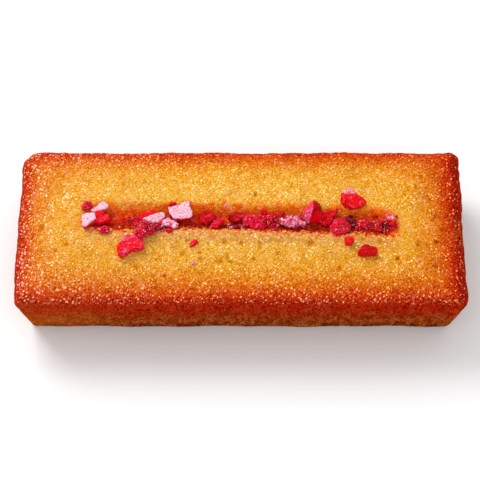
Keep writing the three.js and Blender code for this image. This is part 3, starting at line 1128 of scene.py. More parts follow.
@dataclass
class Cake:
    """The baked bar, in millimetres: widest just under its rim, with a crowned top and a flat base."""

    length: float = 90.0
    width: float = 36.6
    widest_level: float = 11.5
    flare: float = 2.3
    foot_radius: float = 0.8
    shoulder_radius: float = 2.4
    crown: float = 2.0
    corner_radii: dict[Corner, float] = field(
        default_factory=lambda: {
            Corner.BACK_LEFT: 3.8,
            Corner.BACK_RIGHT: 1.9,
            Corner.FRONT_LEFT: 2.6,
            Corner.FRONT_RIGHT: 2.7,
        }
    )
    foot_corner_share: float = 0.6
    edge_dip_depth: float = 0.16
    edge_waves: Point2 = (1.9, 4.7)
    phase_left: float = 2.9
    phase_right: float = 1.1
    phase_front: float = 4.2
    phase_back: float = 0.3
    swell_height: float = 0.14
    swell_broad: float = 6.1
    swell_phase: float = 1.0
    swell_cross: float = 4.3
    swell_fine: float = 3.1
    swell_fine_share: float = 0.6
    dimple: Dimple = field(default_factory=Dimple)
    pitch: float = 0.27
    shoulder_steps: int = 12
    wall_steps: int = 34
    wall_step_power: float = 1.2
    base_rings: tuple[float, ...] = (0.99, 0.96, 0.88, 0.7, 0.45, 0.2)
    crumb_size: float = 0.85
    crumb_middle: float = 0.45
    crumb_relief: float = 0.045
    crumb_wall_loss: float = 0.55
    lip_sharpness: float = 4.0
    grain_size: float = 0.45
    grain_relief: float = 0.04
    knob_size: float = 1.3
    knob_relief: float = 0.16
    knob_inset: Range = (3.0, 0.8)
    pit_size: float = 2.3
    pit_depth: float = 0.06
    pit_range: Range = (0.1, 0.5)
    pit_inset: Range = (2.0, 5.0)
    pit_gloom: float = 0.3
    flat_base: Range = (0.0, 0.6)
    deep_pores: tuple[Point3, ...] = ((31.0, -8.6, 0.4), (39.0, -4.5, 0.4), (-15.0, -12.2, 0.35))
    deep_gloom: float = 2.0
    shown_pores: tuple[Point3, ...] = (
        (36.5, 10.5, 0.4), (35.4, 8.0, 0.4), (38.1, 5.3, 0.4), (-20.6, -10.3, 0.4),
        (-11.3, -7.5, 0.6), (-13.1, -6.0, 0.35), (-10.5, -4.7, 0.45), (-3.2, -5.0, 0.55),
        (0.0, -5.3, 0.6), (-4.0, -9.2, 0.5), (-2.0, -9.2, 0.45), (-17.3, -12.2, 0.4),
        (2.6, -8.6, 0.45), (14.0, -5.3, 0.7), (7.4, -7.3, 0.5), (3.0, 6.1, 0.6),
    )
    pore_seed: int = 5
    pore_count: int = 80
    pore_reach: Point2 = (0.47, 0.45)
    pore_radius: Range = (0.25, 0.65)
    pore_rim: Range = (1.5, 0.4)
    pore_depth: float = 0.5
    closed_back: float = 0.55
    closed_range: Range = (0.0, 5.0)
    crumbly_size: float = 0.7
    crumbly_range: Range = (0.0, 0.35)
    crack_gloom: float = 0.7
    # How strong the painted glints are along the rim: most at the left end and along the front.
    sparkle_left: Range = (0.8, -1.0)
    sparkle_right_share: float = 0.35
    sparkle_front: Range = (-0.55, -0.85)
    sparkle_front_share: float = 0.7
    # Painted light and shade in the browning: paler at the left end and the back, where the light falls, and
    # browner at the right end, partly as shade.
    browner_and_shaded_right: float = 1.7
    right_range: Range = (0.0, 0.5)
    painted_light_left: float = 1.1
    left_range: Range = (0.0, -0.5)
    left_fade: Range = (1.5, 5.0)
    painted_light_back: float = 0.8
    back_range: Range = (-0.1, 0.5)
    back_fade: Range = (3.0, 7.0)
    rim_top: float = 13.35
    rim_bottom: float = 12.9
    finish: CrustFinish = field(default_factory=CrustFinish)

    def corner_radius(self, x: float, y: float) -> float:
        """The widest outline's corner radius in the quarter that holds a point."""
        return self.corner_radii[Corner.of(x, y)]

    def inset_from_rim(self, x: float, y: float) -> float:
        """How far a point of the top lies inside the widest outline.

        Args:
            x: Place along the bar.
            y: Place across it.

        Returns:
            The distance, at least 0.
        """
        radius = self.corner_radius(x, y)
        beyond_x = abs(x) - (self.length / 2 - radius)
        beyond_y = abs(y) - (self.width / 2 - radius)
        outside = math.hypot(max(beyond_x, 0.0), max(beyond_y, 0.0))
        return max(0.0, radius - outside - min(max(beyond_x, beyond_y), 0.0))

    def browning_and_light_depth(self, x: float, y: float) -> float:
        """How far a point lies from the browned edges: the corners are browner; the back and the left end are
        paler, which is painted light, and the right end is browner, partly real browning and partly painted
        shade.

        Args:
            x: Place along the bar.
            y: Place across it.

        Returns:
            The distance, at least 0.
        """
        half_length, half_width = self.length / 2, self.width / 2
        side = max(0.0, half_width - abs(y))
        paler = self.painted_light_back * smoothstep(*self.back_range, y / half_width)
        side += paler * smoothstep(*self.back_fade, side)
        browner = self.browner_and_shaded_right * smoothstep(*self.right_range, x / half_length)
        end = max(0.0, half_length - abs(x) - browner)
        paler = self.painted_light_left * smoothstep(*self.left_range, x / half_length)
        end += paler * smoothstep(*self.left_fade, end)
        return end * side / math.hypot(end, side) if end * side > 0 else 0.0

    def swell(self, x: float, y: float) -> float:
        """Slow unevenness of the top.

        Args:
            x: Place along the bar.
            y: Place across it.

        Returns:
            The height it adds.
        """
        along = math.sin(x / self.swell_broad + self.swell_phase)
        broad = along * math.sin(y / self.swell_cross + x / self.length)
        fine = math.sin((x - y) / self.swell_fine)
        return self.swell_height * (broad + self.swell_fine_share * fine)

    def top_height(self, x: float, y: float) -> float:
        """Height of the top over the base.

        Args:
            x: Place along the bar.
            y: Place across it.

        Returns:
            The height.
        """
        inset = self.inset_from_rim(x, y)
        turn = self.shoulder_radius - min(inset, self.shoulder_radius)
        shoulder = math.sqrt(self.shoulder_radius**2 - turn**2)
        rise = 1 - (1 - min(inset / (self.width / 2), 1.0)) ** 2
        crown = (self.crown + self.swell(x, y)) * rise
        return self.widest_level + shoulder + crown - self.dimple.depth_at(x, y)

    def edge_dip(self, place: float, phase: float) -> float:
        """How far the uneven outline dips in.

        Args:
            place: Place along a side.
            phase: What sets the sides apart.

        Returns:
            The dip.
        """
        short, long = self.edge_waves
        waves = math.sin(place / short + phase) + math.sin(place / long + 2 * phase)
        return self.edge_dip_depth / 2 * (2 + waves)

    def wall_inset(self, height: float) -> float:
        """How far the wall stands in from the widest outline at a height."""
        lean = self.flare * (1 - height / self.widest_level)
        below = max(0.0, self.foot_radius - height)
        return lean + self.foot_radius - math.sqrt(self.foot_radius**2 - below**2)

    def station(self, share: float, half: float) -> float:
        """Place of a grid line: evenly spaced on the top, and along the arc on the shoulder.

        Args:
            share: The line's place in the grid, -1 to 1.
            half: Half the outline's size in that direction.

        Returns:
            The place in millimetres.
        """
        turning = self.shoulder_steps * self.pitch / half
        flat = half - self.shoulder_radius
        if abs(share) < 1 - turning:
            return flat * share / (1 - turning)
        angle = (1 - abs(share)) / turning * math.pi / 2
        return math.copysign(half - self.shoulder_radius * (1 - math.cos(angle)), share)

    def skin_point(self, share_x: float, share_y: float, height: float) -> Vector:
        """A point on the skin before the crumb's relief.

        Args:
            share_x: Place in the grid along the bar, -1 to 1.
            share_y: Place in the grid across it.
            height: Height on the wall; the widest level gives the top.

        Returns:
            The point.
        """
        inset = self.wall_inset(height)
        half_length, half_width = self.length / 2 - inset, self.width / 2 - inset
        x, y = self.station(share_x, half_length), self.station(share_y, half_width)
        tightness = self.foot_corner_share + (1 - self.foot_corner_share) * height / self.widest_level
        radius = self.corner_radius(x, y) * tightness
        beyond_x = max(0.0, abs(x) - (half_length - radius))
        beyond_y = max(0.0, abs(y) - (half_width - radius))
        if beyond_x * beyond_y > 0:
            share = max(beyond_x, beyond_y) / math.hypot(beyond_x, beyond_y)
            x = math.copysign(half_length - radius + beyond_x * share, x)
            y = math.copysign(half_width - radius + beyond_y * share, y)
        z = self.top_height(x, y) if height == self.widest_level else height
        dip_x = self.edge_dip(y, self.phase_right if x > 0 else self.phase_left)
        dip_y = self.edge_dip(x, self.phase_back if y > 0 else self.phase_front)
        return Vector((x - x / (self.length / 2) * dip_x, y - y / (self.width / 2) * dip_y, z))

    def build(self) -> bpy.types.Object:
        """Builds and dresses the bare cake.

        Returns:
            The cake.
        """
        mesh = bmesh.new()
        plan = mesh.verts.layers.float_vector.new("plan")
        columns = 2 * round(self.length / 2 / self.pitch)
        rows = 2 * round(self.width / 2 / self.pitch)
        bmesh.ops.create_grid(mesh, x_segments=columns, y_segments=rows, size=1.0)
        for vert in mesh.verts:
            vert[plan] = vert.co
            vert.co = self.skin_point(vert.co.x, vert.co.y, self.widest_level)
        rim = [edge for edge in mesh.edges if edge.is_boundary]
        for step in range(1, self.wall_steps + 1):
            height = self.widest_level * (1 - step / self.wall_steps) ** self.wall_step_power
            rim = self._extend(mesh, rim, height, 1.0)
        for ring in self.base_rings:
            rim = self._extend(mesh, rim, 0.0, ring)
        bmesh.ops.contextual_create(mesh, geom=rim)
        mesh = in_fixed_order(mesh)
        bmesh.ops.recalc_face_normals(mesh, faces=mesh.faces)
        self._roughen(mesh)
        return finish_piece([mesh], "cake", self.finish.build(), "cake_crust")

    def _extend(
        self, mesh: bmesh.types.BMesh, rim: list[bmesh.types.BMEdge], height: float, ring: float
    ) -> list[bmesh.types.BMEdge]:
        """Adds one row of faces below the open edge.

        Args:
            mesh: The cake so far.
            rim: Its open edge.
            height: Height of the new edge.
            ring: Size of the new edge, as a share of the outline at that height.

        Returns:
            The new open edge.
        """
        plan = mesh.verts.layers.float_vector["plan"]
        made = bmesh.ops.extrude_edge_only(mesh, edges=rim)["geom"]
        for vert in (part for part in made if isinstance(part, bmesh.types.BMVert)):
            point = self.skin_point(vert[plan].x, vert[plan].y, height)
            vert.co = (point.x * ring, point.y * ring, point.z)
        return [part for part in made if isinstance(part, bmesh.types.BMEdge) and part.is_boundary]

    def _pores(self) -> tuple[KDTree, list[float]]:
        """Small open bubbles in the top.

        Returns:
            A finder of the nearest pore, and the pores' radii.
        """
        draw = random.Random(self.pore_seed)
        reach_x, reach_y = self.pore_reach
        spots = [*self.deep_pores, *self.shown_pores]
        for _ in range(self.pore_count):
            x = draw.uniform(-reach_x, reach_x) * self.length
            y = draw.uniform(-reach_y, reach_y) * self.width
            radius = draw.uniform(*self.pore_radius)
            spots.append((x, y, radius * (1 - self.closed_back * smoothstep(*self.closed_range, y))))
        finder = KDTree(len(spots))
        for index, (x, y, _) in enumerate(spots):
            finder.insert((x, y, 0.0), index)
        finder.balance()
        return finder, [radius for _, _, radius in spots]

    def _roughen(self, mesh: bmesh.types.BMesh) -> None:
        """Raises the crumb's relief and notes at each vertex what the finish needs.

        Args:
            mesh: The smooth cake.
        """
        names = ("inset", "wall", "stain", "bed", "dusting", "pore", "sparkle")
        layers = {name: mesh.verts.layers.float.new(name) for name in names}
        pores, radii = self._pores()
        outer, inner = self.pore_rim
        mesh.normal_update()
        for vert in mesh.verts:
            point = vert.co.copy()
            x, y, z = point
            wall = smoothstep(self.rim_top, self.rim_bottom, z)
            top = 1 - wall
            _, index, distance = pores.find((x, y, 0.0))
            pore = smoothstep(radii[index] * outer, radii[index] * inner, distance) * top
            gloom = self.deep_gloom if index < len(self.deep_pores) else 1.0
            inset = self.inset_from_rim(x, y)
            knob = noise.noise(point / self.knob_size) * smoothstep(*self.knob_inset, inset)
            hollow = smoothstep(*self.pit_range, noise.noise(point / self.pit_size))
            pit = hollow * smoothstep(*self.pit_inset, inset) * top
            relief = self._crumb_height(point, wall)
            relief += self.knob_relief * knob - self.pit_depth * pit - pore * radii[index] * self.pore_depth
            shift = vert.normal * relief
            vert.co += Vector((shift.x, shift.y, shift.z * smoothstep(*self.flat_base, z)))
            crumbly = self.dimple.dusting_at(x, y) * top
            crack = crumbly * smoothstep(*self.crumbly_range, noise.noise(point / self.crumbly_size))
            vert[layers["inset"]] = self.browning_and_light_depth(x, y) / self.finish.inset_range
            vert[layers["wall"]] = wall
            vert[layers["stain"]] = self.dimple.stain_and_shadow_at(x, y) * top
            vert[layers["bed"]] = self.dimple.bed_at(x, y)
            vert[layers["dusting"]] = crumbly
            # The pore layer is painted shade for the finish: deepest in the deep pores, fainter in the pits
            # and the near lip's cracks.
            vert[layers["pore"]] = max(gloom * pore, self.pit_gloom * pit, self.crack_gloom * crack)
            vert[layers["sparkle"]] = self._painted_glint_strength(x, y, top)

    def _crumb_height(self, point: Vector, wall: float) -> float:
        """Height of the crumb's grains, which are highest on the dimple's edges and lowest on the walls.

        Args:
            point: The point on the smooth cake.
            wall: 1 on the walls and 0 on the top.

        Returns:
            The height.
        """
        off_edge = abs(self.dimple.across(point.x, point.y)) - 1.0
        lip = math.exp(-(off_edge**2) * self.lip_sharpness) * (1 - wall)
        crumb = self.crumb_middle - noise.voronoi(point / self.crumb_size)[0][0]
        grain = noise.noise(point / self.grain_size)
        return (1 - self.crumb_wall_loss * wall + lip) * self.crumb_relief * crumb + self.grain_relief * grain

    def _painted_glint_strength(self, x: float, y: float, top: float) -> float:
        """How strongly the painted glints show on the rim: most at the left end, nearest the key light, and
        along the front.

        Args:
            x: Place along the bar.
            y: Place across it.
            top: 1 on the top and 0 on the walls.

        Returns:
            The share, 0 to 1.
        """
        left = smoothstep(*self.sparkle_left, x / (self.length / 2))
        front = smoothstep(*self.sparkle_front, y / (self.width / 2)) * top
        return max(left, self.sparkle_right_share * (1 - left), self.sparkle_front_share * front)


ALL_FLESH_LEVELS = (-0.5, -0.15)
TOP_FLESH_LEVELS = (0.1, 0.4)
LEFT_FLESH_SHARE = 0.55
RIDGE_BLEND = 0.12
RIDGE_PLACE = -0.4
RIDGE_SLANT = 0.25
BACK_FLESH_BLEND = 0.45
BACK_FLESH_END = (1.5, 0.9)


class FleshSide(Enum):
    """Where a slice shows pale flesh instead of red skin."""

    NONE = "none"
    ALL = "all but the underside"
    TOP = "top"
    LEFT = "left"
    BACK = "back"

    def share(self, point: Vector, thick: float, back_from: float) -> float:
        """How far a point of a slice is flesh.

        Args:
            point: The point, from the slice's middle, before the slice is leant.
            thick: The slice's thickness.
            back_from: Where flesh on the back starts, across the slice.

        Returns:
            The share, 0 to 1.
        """
        if self is FleshSide.ALL:
            return smoothstep(*(level * thick for level in ALL_FLESH_LEVELS), point.z)
        if self is FleshSide.TOP:
            return smoothstep(*(level * thick for level in TOP_FLESH_LEVELS), point.z)
        if self is FleshSide.LEFT:
            return LEFT_FLESH_SHARE * smoothstep(RIDGE_BLEND, -RIDGE_BLEND, self.past_ridge(point))
        if self is FleshSide.BACK:
            behind = smoothstep(back_from, back_from + BACK_FLESH_BLEND, point.y)
            return behind * smoothstep(*BACK_FLESH_END, point.x)
        return 0.0

    @staticmethod
    def past_ridge(point: Vector) -> float:
        """How far right of the slanting ridge of a piece that is pale on its left a point lies."""
        return point.x - RIDGE_PLACE - RIDGE_SLANT * point.y


@dataclass(frozen=True)
class SliceTexture:
    """How every slice is broken up and toned. Waves are in turns per millimetre."""

    refine_rounds: int = 7
    facing_up: Range = (0.1, 0.7)
    lump_wave: float = 0.9
    ragged_wave: float = 2.3
    fine_wave: float = 3.1
    fine_height: float = 0.05
    torn_wave: float = 0.8
    torn_range: Range = (-0.1, 0.4)
    side_paleness: float = 0.62
    tone_share: float = 0.2
    hollow_range: Range = (0.02, -0.16)
    hollow_shade: float = 0.5
    lightening: float = 0.15
    smooth_top_shade: float = 0.5
    smooth_lightening: float = 0.4
    ridge_height: float = 0.4
    ridge_spread: float = 0.5
    gloss_range: Range = (-0.2, 0.3)
    gloss_calm: float = 0.9
    # Painted shade on the glossy side of the upright piece.
    gloss_rise: Range = (-1.6, 1.8)
    gloss_rise_shade: float = 0.7
    gloss_lightening: float = 0.5
    gloss_tone_share: float = 0.35
    gloss_side: Range = (0.0, 1.5)
    gloss_side_shade: float = 0.6
    grain_paleness: Range = (0.3, 1.0)
    grain_dark: Range = (0.0, 0.6)
    grain_stray: float = 0.6
    grain_wave: float = 3.0


@dataclass
class BerrySlice:
    """One broken slice of dried berry."""

    what: str
    at: Point2
    thick: float
    lean: float
    prop: float
    outline: tuple[Point2, ...]
    flesh: FleshSide = FleshSide.NONE
    back_from: float = 0.45
    shade: float = 0.0
    paleness: float = 1.0
    smooth: float = 0.0
    torn: float = 0.25
    lumps: float = 0.14
    ragged: float = 0.18
    facet_size: float = 1.3
    facet_height: float = 0.16
    grains: int = 0
    grain_radius: Point2 = (0.1, 0.26)
    pattern: float = 0.0
    bevel: float = 0.14
    sunk_share: float = 0.2
    edge_length: float = 0.18
    texture: SliceTexture = field(default_factory=SliceTexture)

    def build(self, cake: Cake) -> bmesh.types.BMesh:
        """Builds the slice in its place.

        Args:
            cake: The cake that it lies on.

        Returns:
            The slice's mesh.
        """
        mesh = bmesh.new()
        corners = [mesh.verts.new((x, y, -self.thick / 2)) for x, y in self.outline]
        face = mesh.faces.new(corners)
        raised = bmesh.ops.extrude_face_region(mesh, geom=[face])["geom"]
        tops = [part for part in raised if isinstance(part, bmesh.types.BMVert)]
        bmesh.ops.translate(mesh, vec=(0.0, 0.0, self.thick), verts=tops)
        bmesh.ops.recalc_face_normals(mesh, faces=mesh.faces)
        bmesh.ops.bevel(
            mesh, geom=mesh.edges[:], offset=self.bevel, segments=1, profile=0.5, affect="EDGES", material=-1
        )
        mesh = in_fixed_order(mesh)
        self._refine(mesh)
        self._roughen(mesh)
        self._strew(mesh)
        x, y = self.at
        middle = cake.top_height(x, y) + (0.5 - self.sunk_share) * self.thick + self.prop
        turn = Matrix.Rotation(math.radians(self.lean), 4, "X")
        bmesh.ops.transform(mesh, matrix=Matrix.Translation((x, y, middle)) @ turn, verts=mesh.verts)
        return mesh

    def _refine(self, mesh: bmesh.types.BMesh) -> None:
        """Splits long edges until the slice has an even, fine mesh.

        Args:
            mesh: The bevelled slice.
        """
        bmesh.ops.triangulate(mesh, faces=mesh.faces)
        for _ in range(self.texture.refine_rounds):
            long = [edge for edge in mesh.edges if edge.calc_length() > self.edge_length]
            if not long:
                break
            bmesh.ops.subdivide_edges(mesh, edges=long, cuts=1)
            bmesh.ops.triangulate(mesh, faces=mesh.faces)

    def _roughen(self, mesh: bmesh.types.BMesh) -> None:
        """Breaks up the slice's edges and faces and notes its colours.

        Args:
            mesh: The finely meshed slice, still flat and at the origin.
        """
        for name in ("flesh", "shade", "smooth"):
            mesh.verts.layers.float.new(name)
        flesh, shade, smooth = mesh.verts.layers.float.values()
        rules = self.texture
        mesh.normal_update()
        for vert in mesh.verts:
            local = vert.co.copy()
            seat = local + Vector((*self.at, self.pattern))
            facing_up = smoothstep(*rules.facing_up, vert.normal.z)
            height, tone = facet(seat, self.facet_size)
            lump = self.lumps * noise.noise(seat * rules.lump_wave) + self.facet_height * height
            lump += rules.fine_height * noise.noise(seat * rules.fine_wave)
            # Painted shade in the low hollows of the broken surface.
            hollow = smoothstep(*rules.hollow_range, lump)
            dark = self.shade + rules.tone_share * tone + rules.hollow_shade * hollow - rules.lightening
            # Painted light: smooth pieces are darker on top and lighter at their edges, where light shines
            # through.
            dark += self.smooth * (rules.smooth_top_shade * facing_up - rules.smooth_lightening)
            glossy = self.smooth
            if self.flesh is FleshSide.LEFT:
                past_ridge = FleshSide.past_ridge(local)
                glossy = smoothstep(*rules.gloss_range, past_ridge)
                ridge = math.exp(-((past_ridge / rules.ridge_spread) ** 2))
                lump = lump * (1 - rules.gloss_calm * glossy) + rules.ridge_height * ridge
                dark += glossy * self._gloss_shade(local.y, tone, facing_up)
            share = self.flesh.share(local, self.thick, self.back_from)
            pale = self.paleness * share * (rules.side_paleness + (1 - rules.side_paleness) * facing_up)
            torn = self.torn * smoothstep(*rules.torn_range, noise.noise(seat * rules.torn_wave))
            vert[flesh] = max(pale, torn)
            vert[shade] = dark
            vert[smooth] = glossy
            stray = self.lumps * noise.noise_vector(seat * rules.lump_wave)
            stray += self.ragged * noise.noise_vector(seat * rules.ragged_wave)
            vert.co += vert.normal * lump + Vector((stray.x, stray.y, 0.0))

    def _gloss_shade(self, y: float, tone: float, facing_up: float) -> float:
        """Painted shade on the glossy side of a piece that is pale on its left: darker towards its top and on
        its edges.

        Args:
            y: Place across the slice.
            tone: Tone of the facet there.
            facing_up: 1 on the upper side and 0 on the edges.

        Returns:
            The darkness that it adds.
        """
        rules = self.texture
        rise = rules.gloss_rise_shade * smoothstep(*rules.gloss_rise, y)
        side = rules.gloss_side_shade * (1 - facing_up) * smoothstep(*rules.gloss_side, y)
        return rise + side - rules.gloss_lightening - rules.gloss_tone_share * tone

    def _strew(self, mesh: bmesh.types.BMesh) -> None:
        """Strews loose grains, pale and dark, over the slice's upper side.

        Args:
            mesh: The rough slice, still at the origin.
        """
        draw = random.Random(self.grains)
        flesh, shade, _ = mesh.verts.layers.float.values()
        rules = self.texture
        mesh.normal_update()
        spots = [vert.co.copy() for vert in mesh.verts if vert.normal.z > 0.0]
        for place in draw.sample(spots, self.grains):
            radius = draw.uniform(*self.grain_radius)
            share = self.flesh.share(place, self.thick, self.back_from)
            pale = max(self.torn, self.paleness * share) * draw.uniform(*rules.grain_paleness)
            dark = draw.uniform(*rules.grain_dark)
            seat = Matrix.Translation(place)
            for vert in bmesh.ops.create_icosphere(mesh, subdivisions=1, radius=radius, matrix=seat)["verts"]:
                vert.co += radius * rules.grain_stray * noise.noise_vector(vert.co * rules.grain_wave)
                vert[flesh] = pale
                vert[shade] = dark


@dataclass
class BerrySlices:
    """Broken slices of one kind, made as one piece."""

    name: str
    slot: str
    slices: tuple[BerrySlice, ...]

    def build(self, cake: Cake, material: bpy.types.Material) -> bpy.types.Object:
        """Builds and dresses the slices.

        Args:
            cake: The cake that they lie on.
            material: Their finish.

        Returns:
            The slices as one piece.
        """
        log.info("%s: %s", self.name, ", ".join(part.what for part in self.slices))
        return finish_piece([part.build(cake) for part in self.slices], self.name, material, self.slot)


CRISP = {"lumps": 0.05, "ragged": 0.1, "facet_height": 0.06}
CRUMBLING = {"ragged": 0.3, "facet_size": 0.7, "facet_height": 0.2}

PALE_SLICES = BerrySlices(
    "pale_berry_slices",
    "berry_flesh",
    (
        BerrySlice(
            "pale flake behind the left end",
            (-28.2, 2.6), thick=1.1, lean=12, prop=0.7, flesh=FleshSide.ALL, **CRISP,
            outline=((-1.8, -0.7), (0.6, 1.4), (1.8, 0.6), (1.6, -0.1), (-0.9, -1.1)),
        ),
        BerrySlice(
            "cut piece at the left end",
            (-30.3, -0.3), thick=1.7, lean=4, prop=0.45, flesh=FleshSide.TOP, paleness=1.35, **CRISP,
            outline=((-1.4, 0.8), (-0.4, 1.2), (1.3, 1.4), (1.5, 0.1), (-0.6, -1.9), (-1.1, -1.6)),
        ),
        BerrySlice(
            "pale flake over the strip",
            (-16.9, 0.6), thick=1.1, lean=16, prop=1.0, flesh=FleshSide.ALL, **CRISP,
            outline=(
                (-2.8, -0.1), (-0.6, 0.9), (1.0, 1.3), (1.6, 1.2), (1.9, 0.4), (0.4, -1.1), (-0.8, -1.0),
            ),
        ),
        BerrySlice(
            "pale flake before it",
            (-14.5, -0.95), thick=1.1, lean=12, prop=0.8, flesh=FleshSide.ALL, paleness=0.9,
            grains=50, **CRISP,
            outline=(
                (-2.0, 0.2), (0.0, 1.1), (1.8, 0.2), (1.9, -0.5), (1.5, -1.0), (-0.5, -0.5), (-1.9, -0.5),
            ),
        ),
        BerrySlice(
            "largest pale flake",
            (-11.9, 2.2), thick=1.9, lean=14, prop=0.6, flesh=FleshSide.TOP, **CRISP,
            outline=(
                (-2.6, 0.7), (-0.6, 0.8), (0.1, 1.5), (1.6, 1.8), (1.7, 0.7),
                (2.3, -0.2), (2.1, -1.4), (0.2, -1.8), (-1.5, -1.8), (-2.4, -0.5),
            ),
        ),
        BerrySlice(
            "rough pale flake",
            (10.4, 0.25), thick=1.6, lean=10, prop=0.5, flesh=FleshSide.ALL, paleness=0.88,
            grains=260, **CRUMBLING,
            outline=(
                (-2.5, -0.2), (-2.3, 0.5), (-1.6, 0.4), (-1.2, 1.0), (0.2, 0.7), (0.8, 1.0),
                (1.4, 0.2), (2.6, -0.5), (2.4, -1.1), (0.9, -0.8), (0.2, -1.2), (-1.5, -0.8),
            ),
        ),
        BerrySlice(
            "pale piece at the right end",
            (30.0, -0.2), thick=1.6, lean=10, prop=0.3, flesh=FleshSide.BACK, back_from=-0.2,
            torn=0.3, grains=110, **CRUMBLING,
            outline=((-1.0, 0.1), (-0.3, 1.3), (0.6, 1.2), (0.9, -1.4), (0.2, -1.5)),
        ),
    ),
)

RED_SLICES = BerrySlices(
    "red_berry_slices",
    "berry_skin",
    (
        BerrySlice(
            "red piece beside the cut one",
            (-27.6, 0.6), thick=2.1, lean=8, prop=0.2,
            outline=((-1.6, 1.0), (-0.5, 1.4), (1.5, 0.0), (1.3, -0.9), (-0.6, -1.5), (-1.9, -1.0)),
        ),
        BerrySlice(
            "large red wedge before the dimple",
            (-21.7, -6.3), thick=1.9, lean=4, prop=0.0, facet_height=0.14, torn=0.5, pattern=7.25, grains=36,
            outline=(
                (-2.6, -0.9), (-2.3, -2.4), (-1.7, -2.3), (0.1, -1.2), (2.6, -0.7), (2.7, -0.1),
                (1.2, 2.3), (0.6, 2.4), (-0.6, 2.0), (-1.7, 1.2), (-2.4, 0.2),
            ),
        ),
        BerrySlice(
            "red strip",
            (-18.6, 1.5), thick=1.8, lean=14, prop=0.2,
            outline=((-1.8, -0.3), (-1.1, 0.5), (1.7, 1.2), (1.9, 0.6), (0.9, -0.8), (-1.3, -1.2)),
        ),
        BerrySlice(
            "red piece down in the dimple",
            (-6.9, 1.4), thick=1.7, lean=14, prop=0.0, shade=0.6, smooth=0.4,
            outline=((-1.7, 0.6), (0.7, 1.4), (2.1, -0.1), (0.0, -1.6), (-1.2, -1.0)),
        ),
        BerrySlice(
            "rough red piece on the near lip",
            (-4.6, -0.4), thick=1.6, lean=0, prop=0.3, torn=0.35, grains=60,
            outline=((-1.5, -0.7), (-0.4, 0.8), (1.5, 1.1), (-0.2, -1.1), (-1.0, -1.0)),
        ),
        BerrySlice(
            "dark red piece",
            (-0.7, 1.4), thick=1.5, lean=16, prop=0.0, shade=1.0, smooth=0.4,
            outline=((-1.7, 0.0), (-0.6, 0.8), (0.8, 1.0), (1.8, 0.4), (0.0, -1.2), (-1.3, -0.8)),
        ),
        BerrySlice(
            "upright piece",
            (14.4, 1.5), thick=1.8, lean=62, prop=0.9, flesh=FleshSide.LEFT, shade=0.35, torn=0.0,
            outline=(
                (-2.1, -0.7), (-1.6, 0.5), (-0.5, 2.0), (0.8, 2.5), (1.5, 2.0),
                (1.9, 0.7), (2.0, -1.6), (0.6, -1.6), (-0.9, -1.4),
            ),
        ),
        BerrySlice(
            "red piece right of it",
            (17.7, 1.2), thick=1.7, lean=18, prop=0.1, shade=0.1, smooth=0.3,
            torn=0.35, facet_size=0.8, facet_height=0.2, grains=40,
            outline=((-1.7, 0.2), (-1.2, 1.0), (1.7, 1.5), (0.7, -0.6), (0.4, -1.6), (-1.6, -1.6)),
        ),
        BerrySlice(
            "red piece behind the dimple",
            (22.5, 4.4), thick=2.1, lean=14, prop=0.0, flesh=FleshSide.BACK, back_from=0.75,
            paleness=0.8, torn=0.1,
            outline=(
                (-2.4, -0.4), (-2.3, 1.0), (-1.7, 1.7), (-0.5, 2.1), (0.6, 1.7), (1.1, 0.8),
                (2.5, -0.3), (2.6, -0.8), (1.7, -1.7), (0.0, -2.0), (-1.6, -1.5),
            ),
        ),
        BerrySlice(
            "small red piece before the dimple",
            (21.5, -5.2), thick=1.5, lean=0, prop=0.0,
            outline=((-1.0, 0.3), (-0.4, 0.9), (0.6, 0.8), (1.0, 0.1), (0.5, -0.8), (-0.5, -0.8)),
        ),
        BerrySlice(
            "red piece before it",
            (25.0, -7.3), thick=1.6, lean=4, prop=0.0, shade=0.6, smooth=0.7,
            torn=0.1, lumps=0.06, ragged=0.08, facet_size=0.9, facet_height=0.13,
            outline=((-1.9, -0.6), (-0.9, 1.0), (0.0, 1.2), (2.1, 0.3), (1.8, -0.9), (-1.4, -1.0)),
        ),
    ),
)


@dataclass(frozen=True)
class Seat:
    """Where a small piece lies, with its size, turn in degrees, propping up, darkness and hollow."""

    at: Point2
    size: Point3
    turn: float = 0.0
    prop: float = 0.0
    tone: float = 0.0
    hollow: float = 0.0
    sunk_share: float = 0.2

    def settle(self, mesh: bmesh.types.BMesh, cake: Cake) -> None:
        """Brings a mesh to the seat's size and place.

        Args:
            mesh: The scrap or crumb, of any size round the origin.
            cake: The cake that it lies on.
        """
        corners = [[vert.co[axis] for vert in mesh.verts] for axis in range(3)]
        lows = [min(values) for values in corners]
        highs = [max(values) for values in corners]
        middle = Vector([(low + high) / 2 for low, high in zip(lows, highs)])
        stretch = [wanted / (high - low) for wanted, low, high in zip(self.size, lows, highs)]
        x, y = self.at
        rest = cake.top_height(x, y) + (0.5 - self.sunk_share) * self.size[2] + self.prop
        matrix = Matrix.Translation((x, y, rest)) @ Matrix.Rotation(math.radians(self.turn), 4, "Z")
        matrix @= Matrix.Diagonal((*stretch, 1.0)) @ Matrix.Translation(-middle)
        bmesh.ops.transform(mesh, matrix=matrix, verts=mesh.verts)


@dataclass(frozen=True)
class Heap:
    """A loose heap of grains, with its reach along and across the bar and its share of dusted grains."""

    at: Point2
    reach: Point2
    high: float
    count: int
    tone: float = 0.0
    dusted: float = 0.05


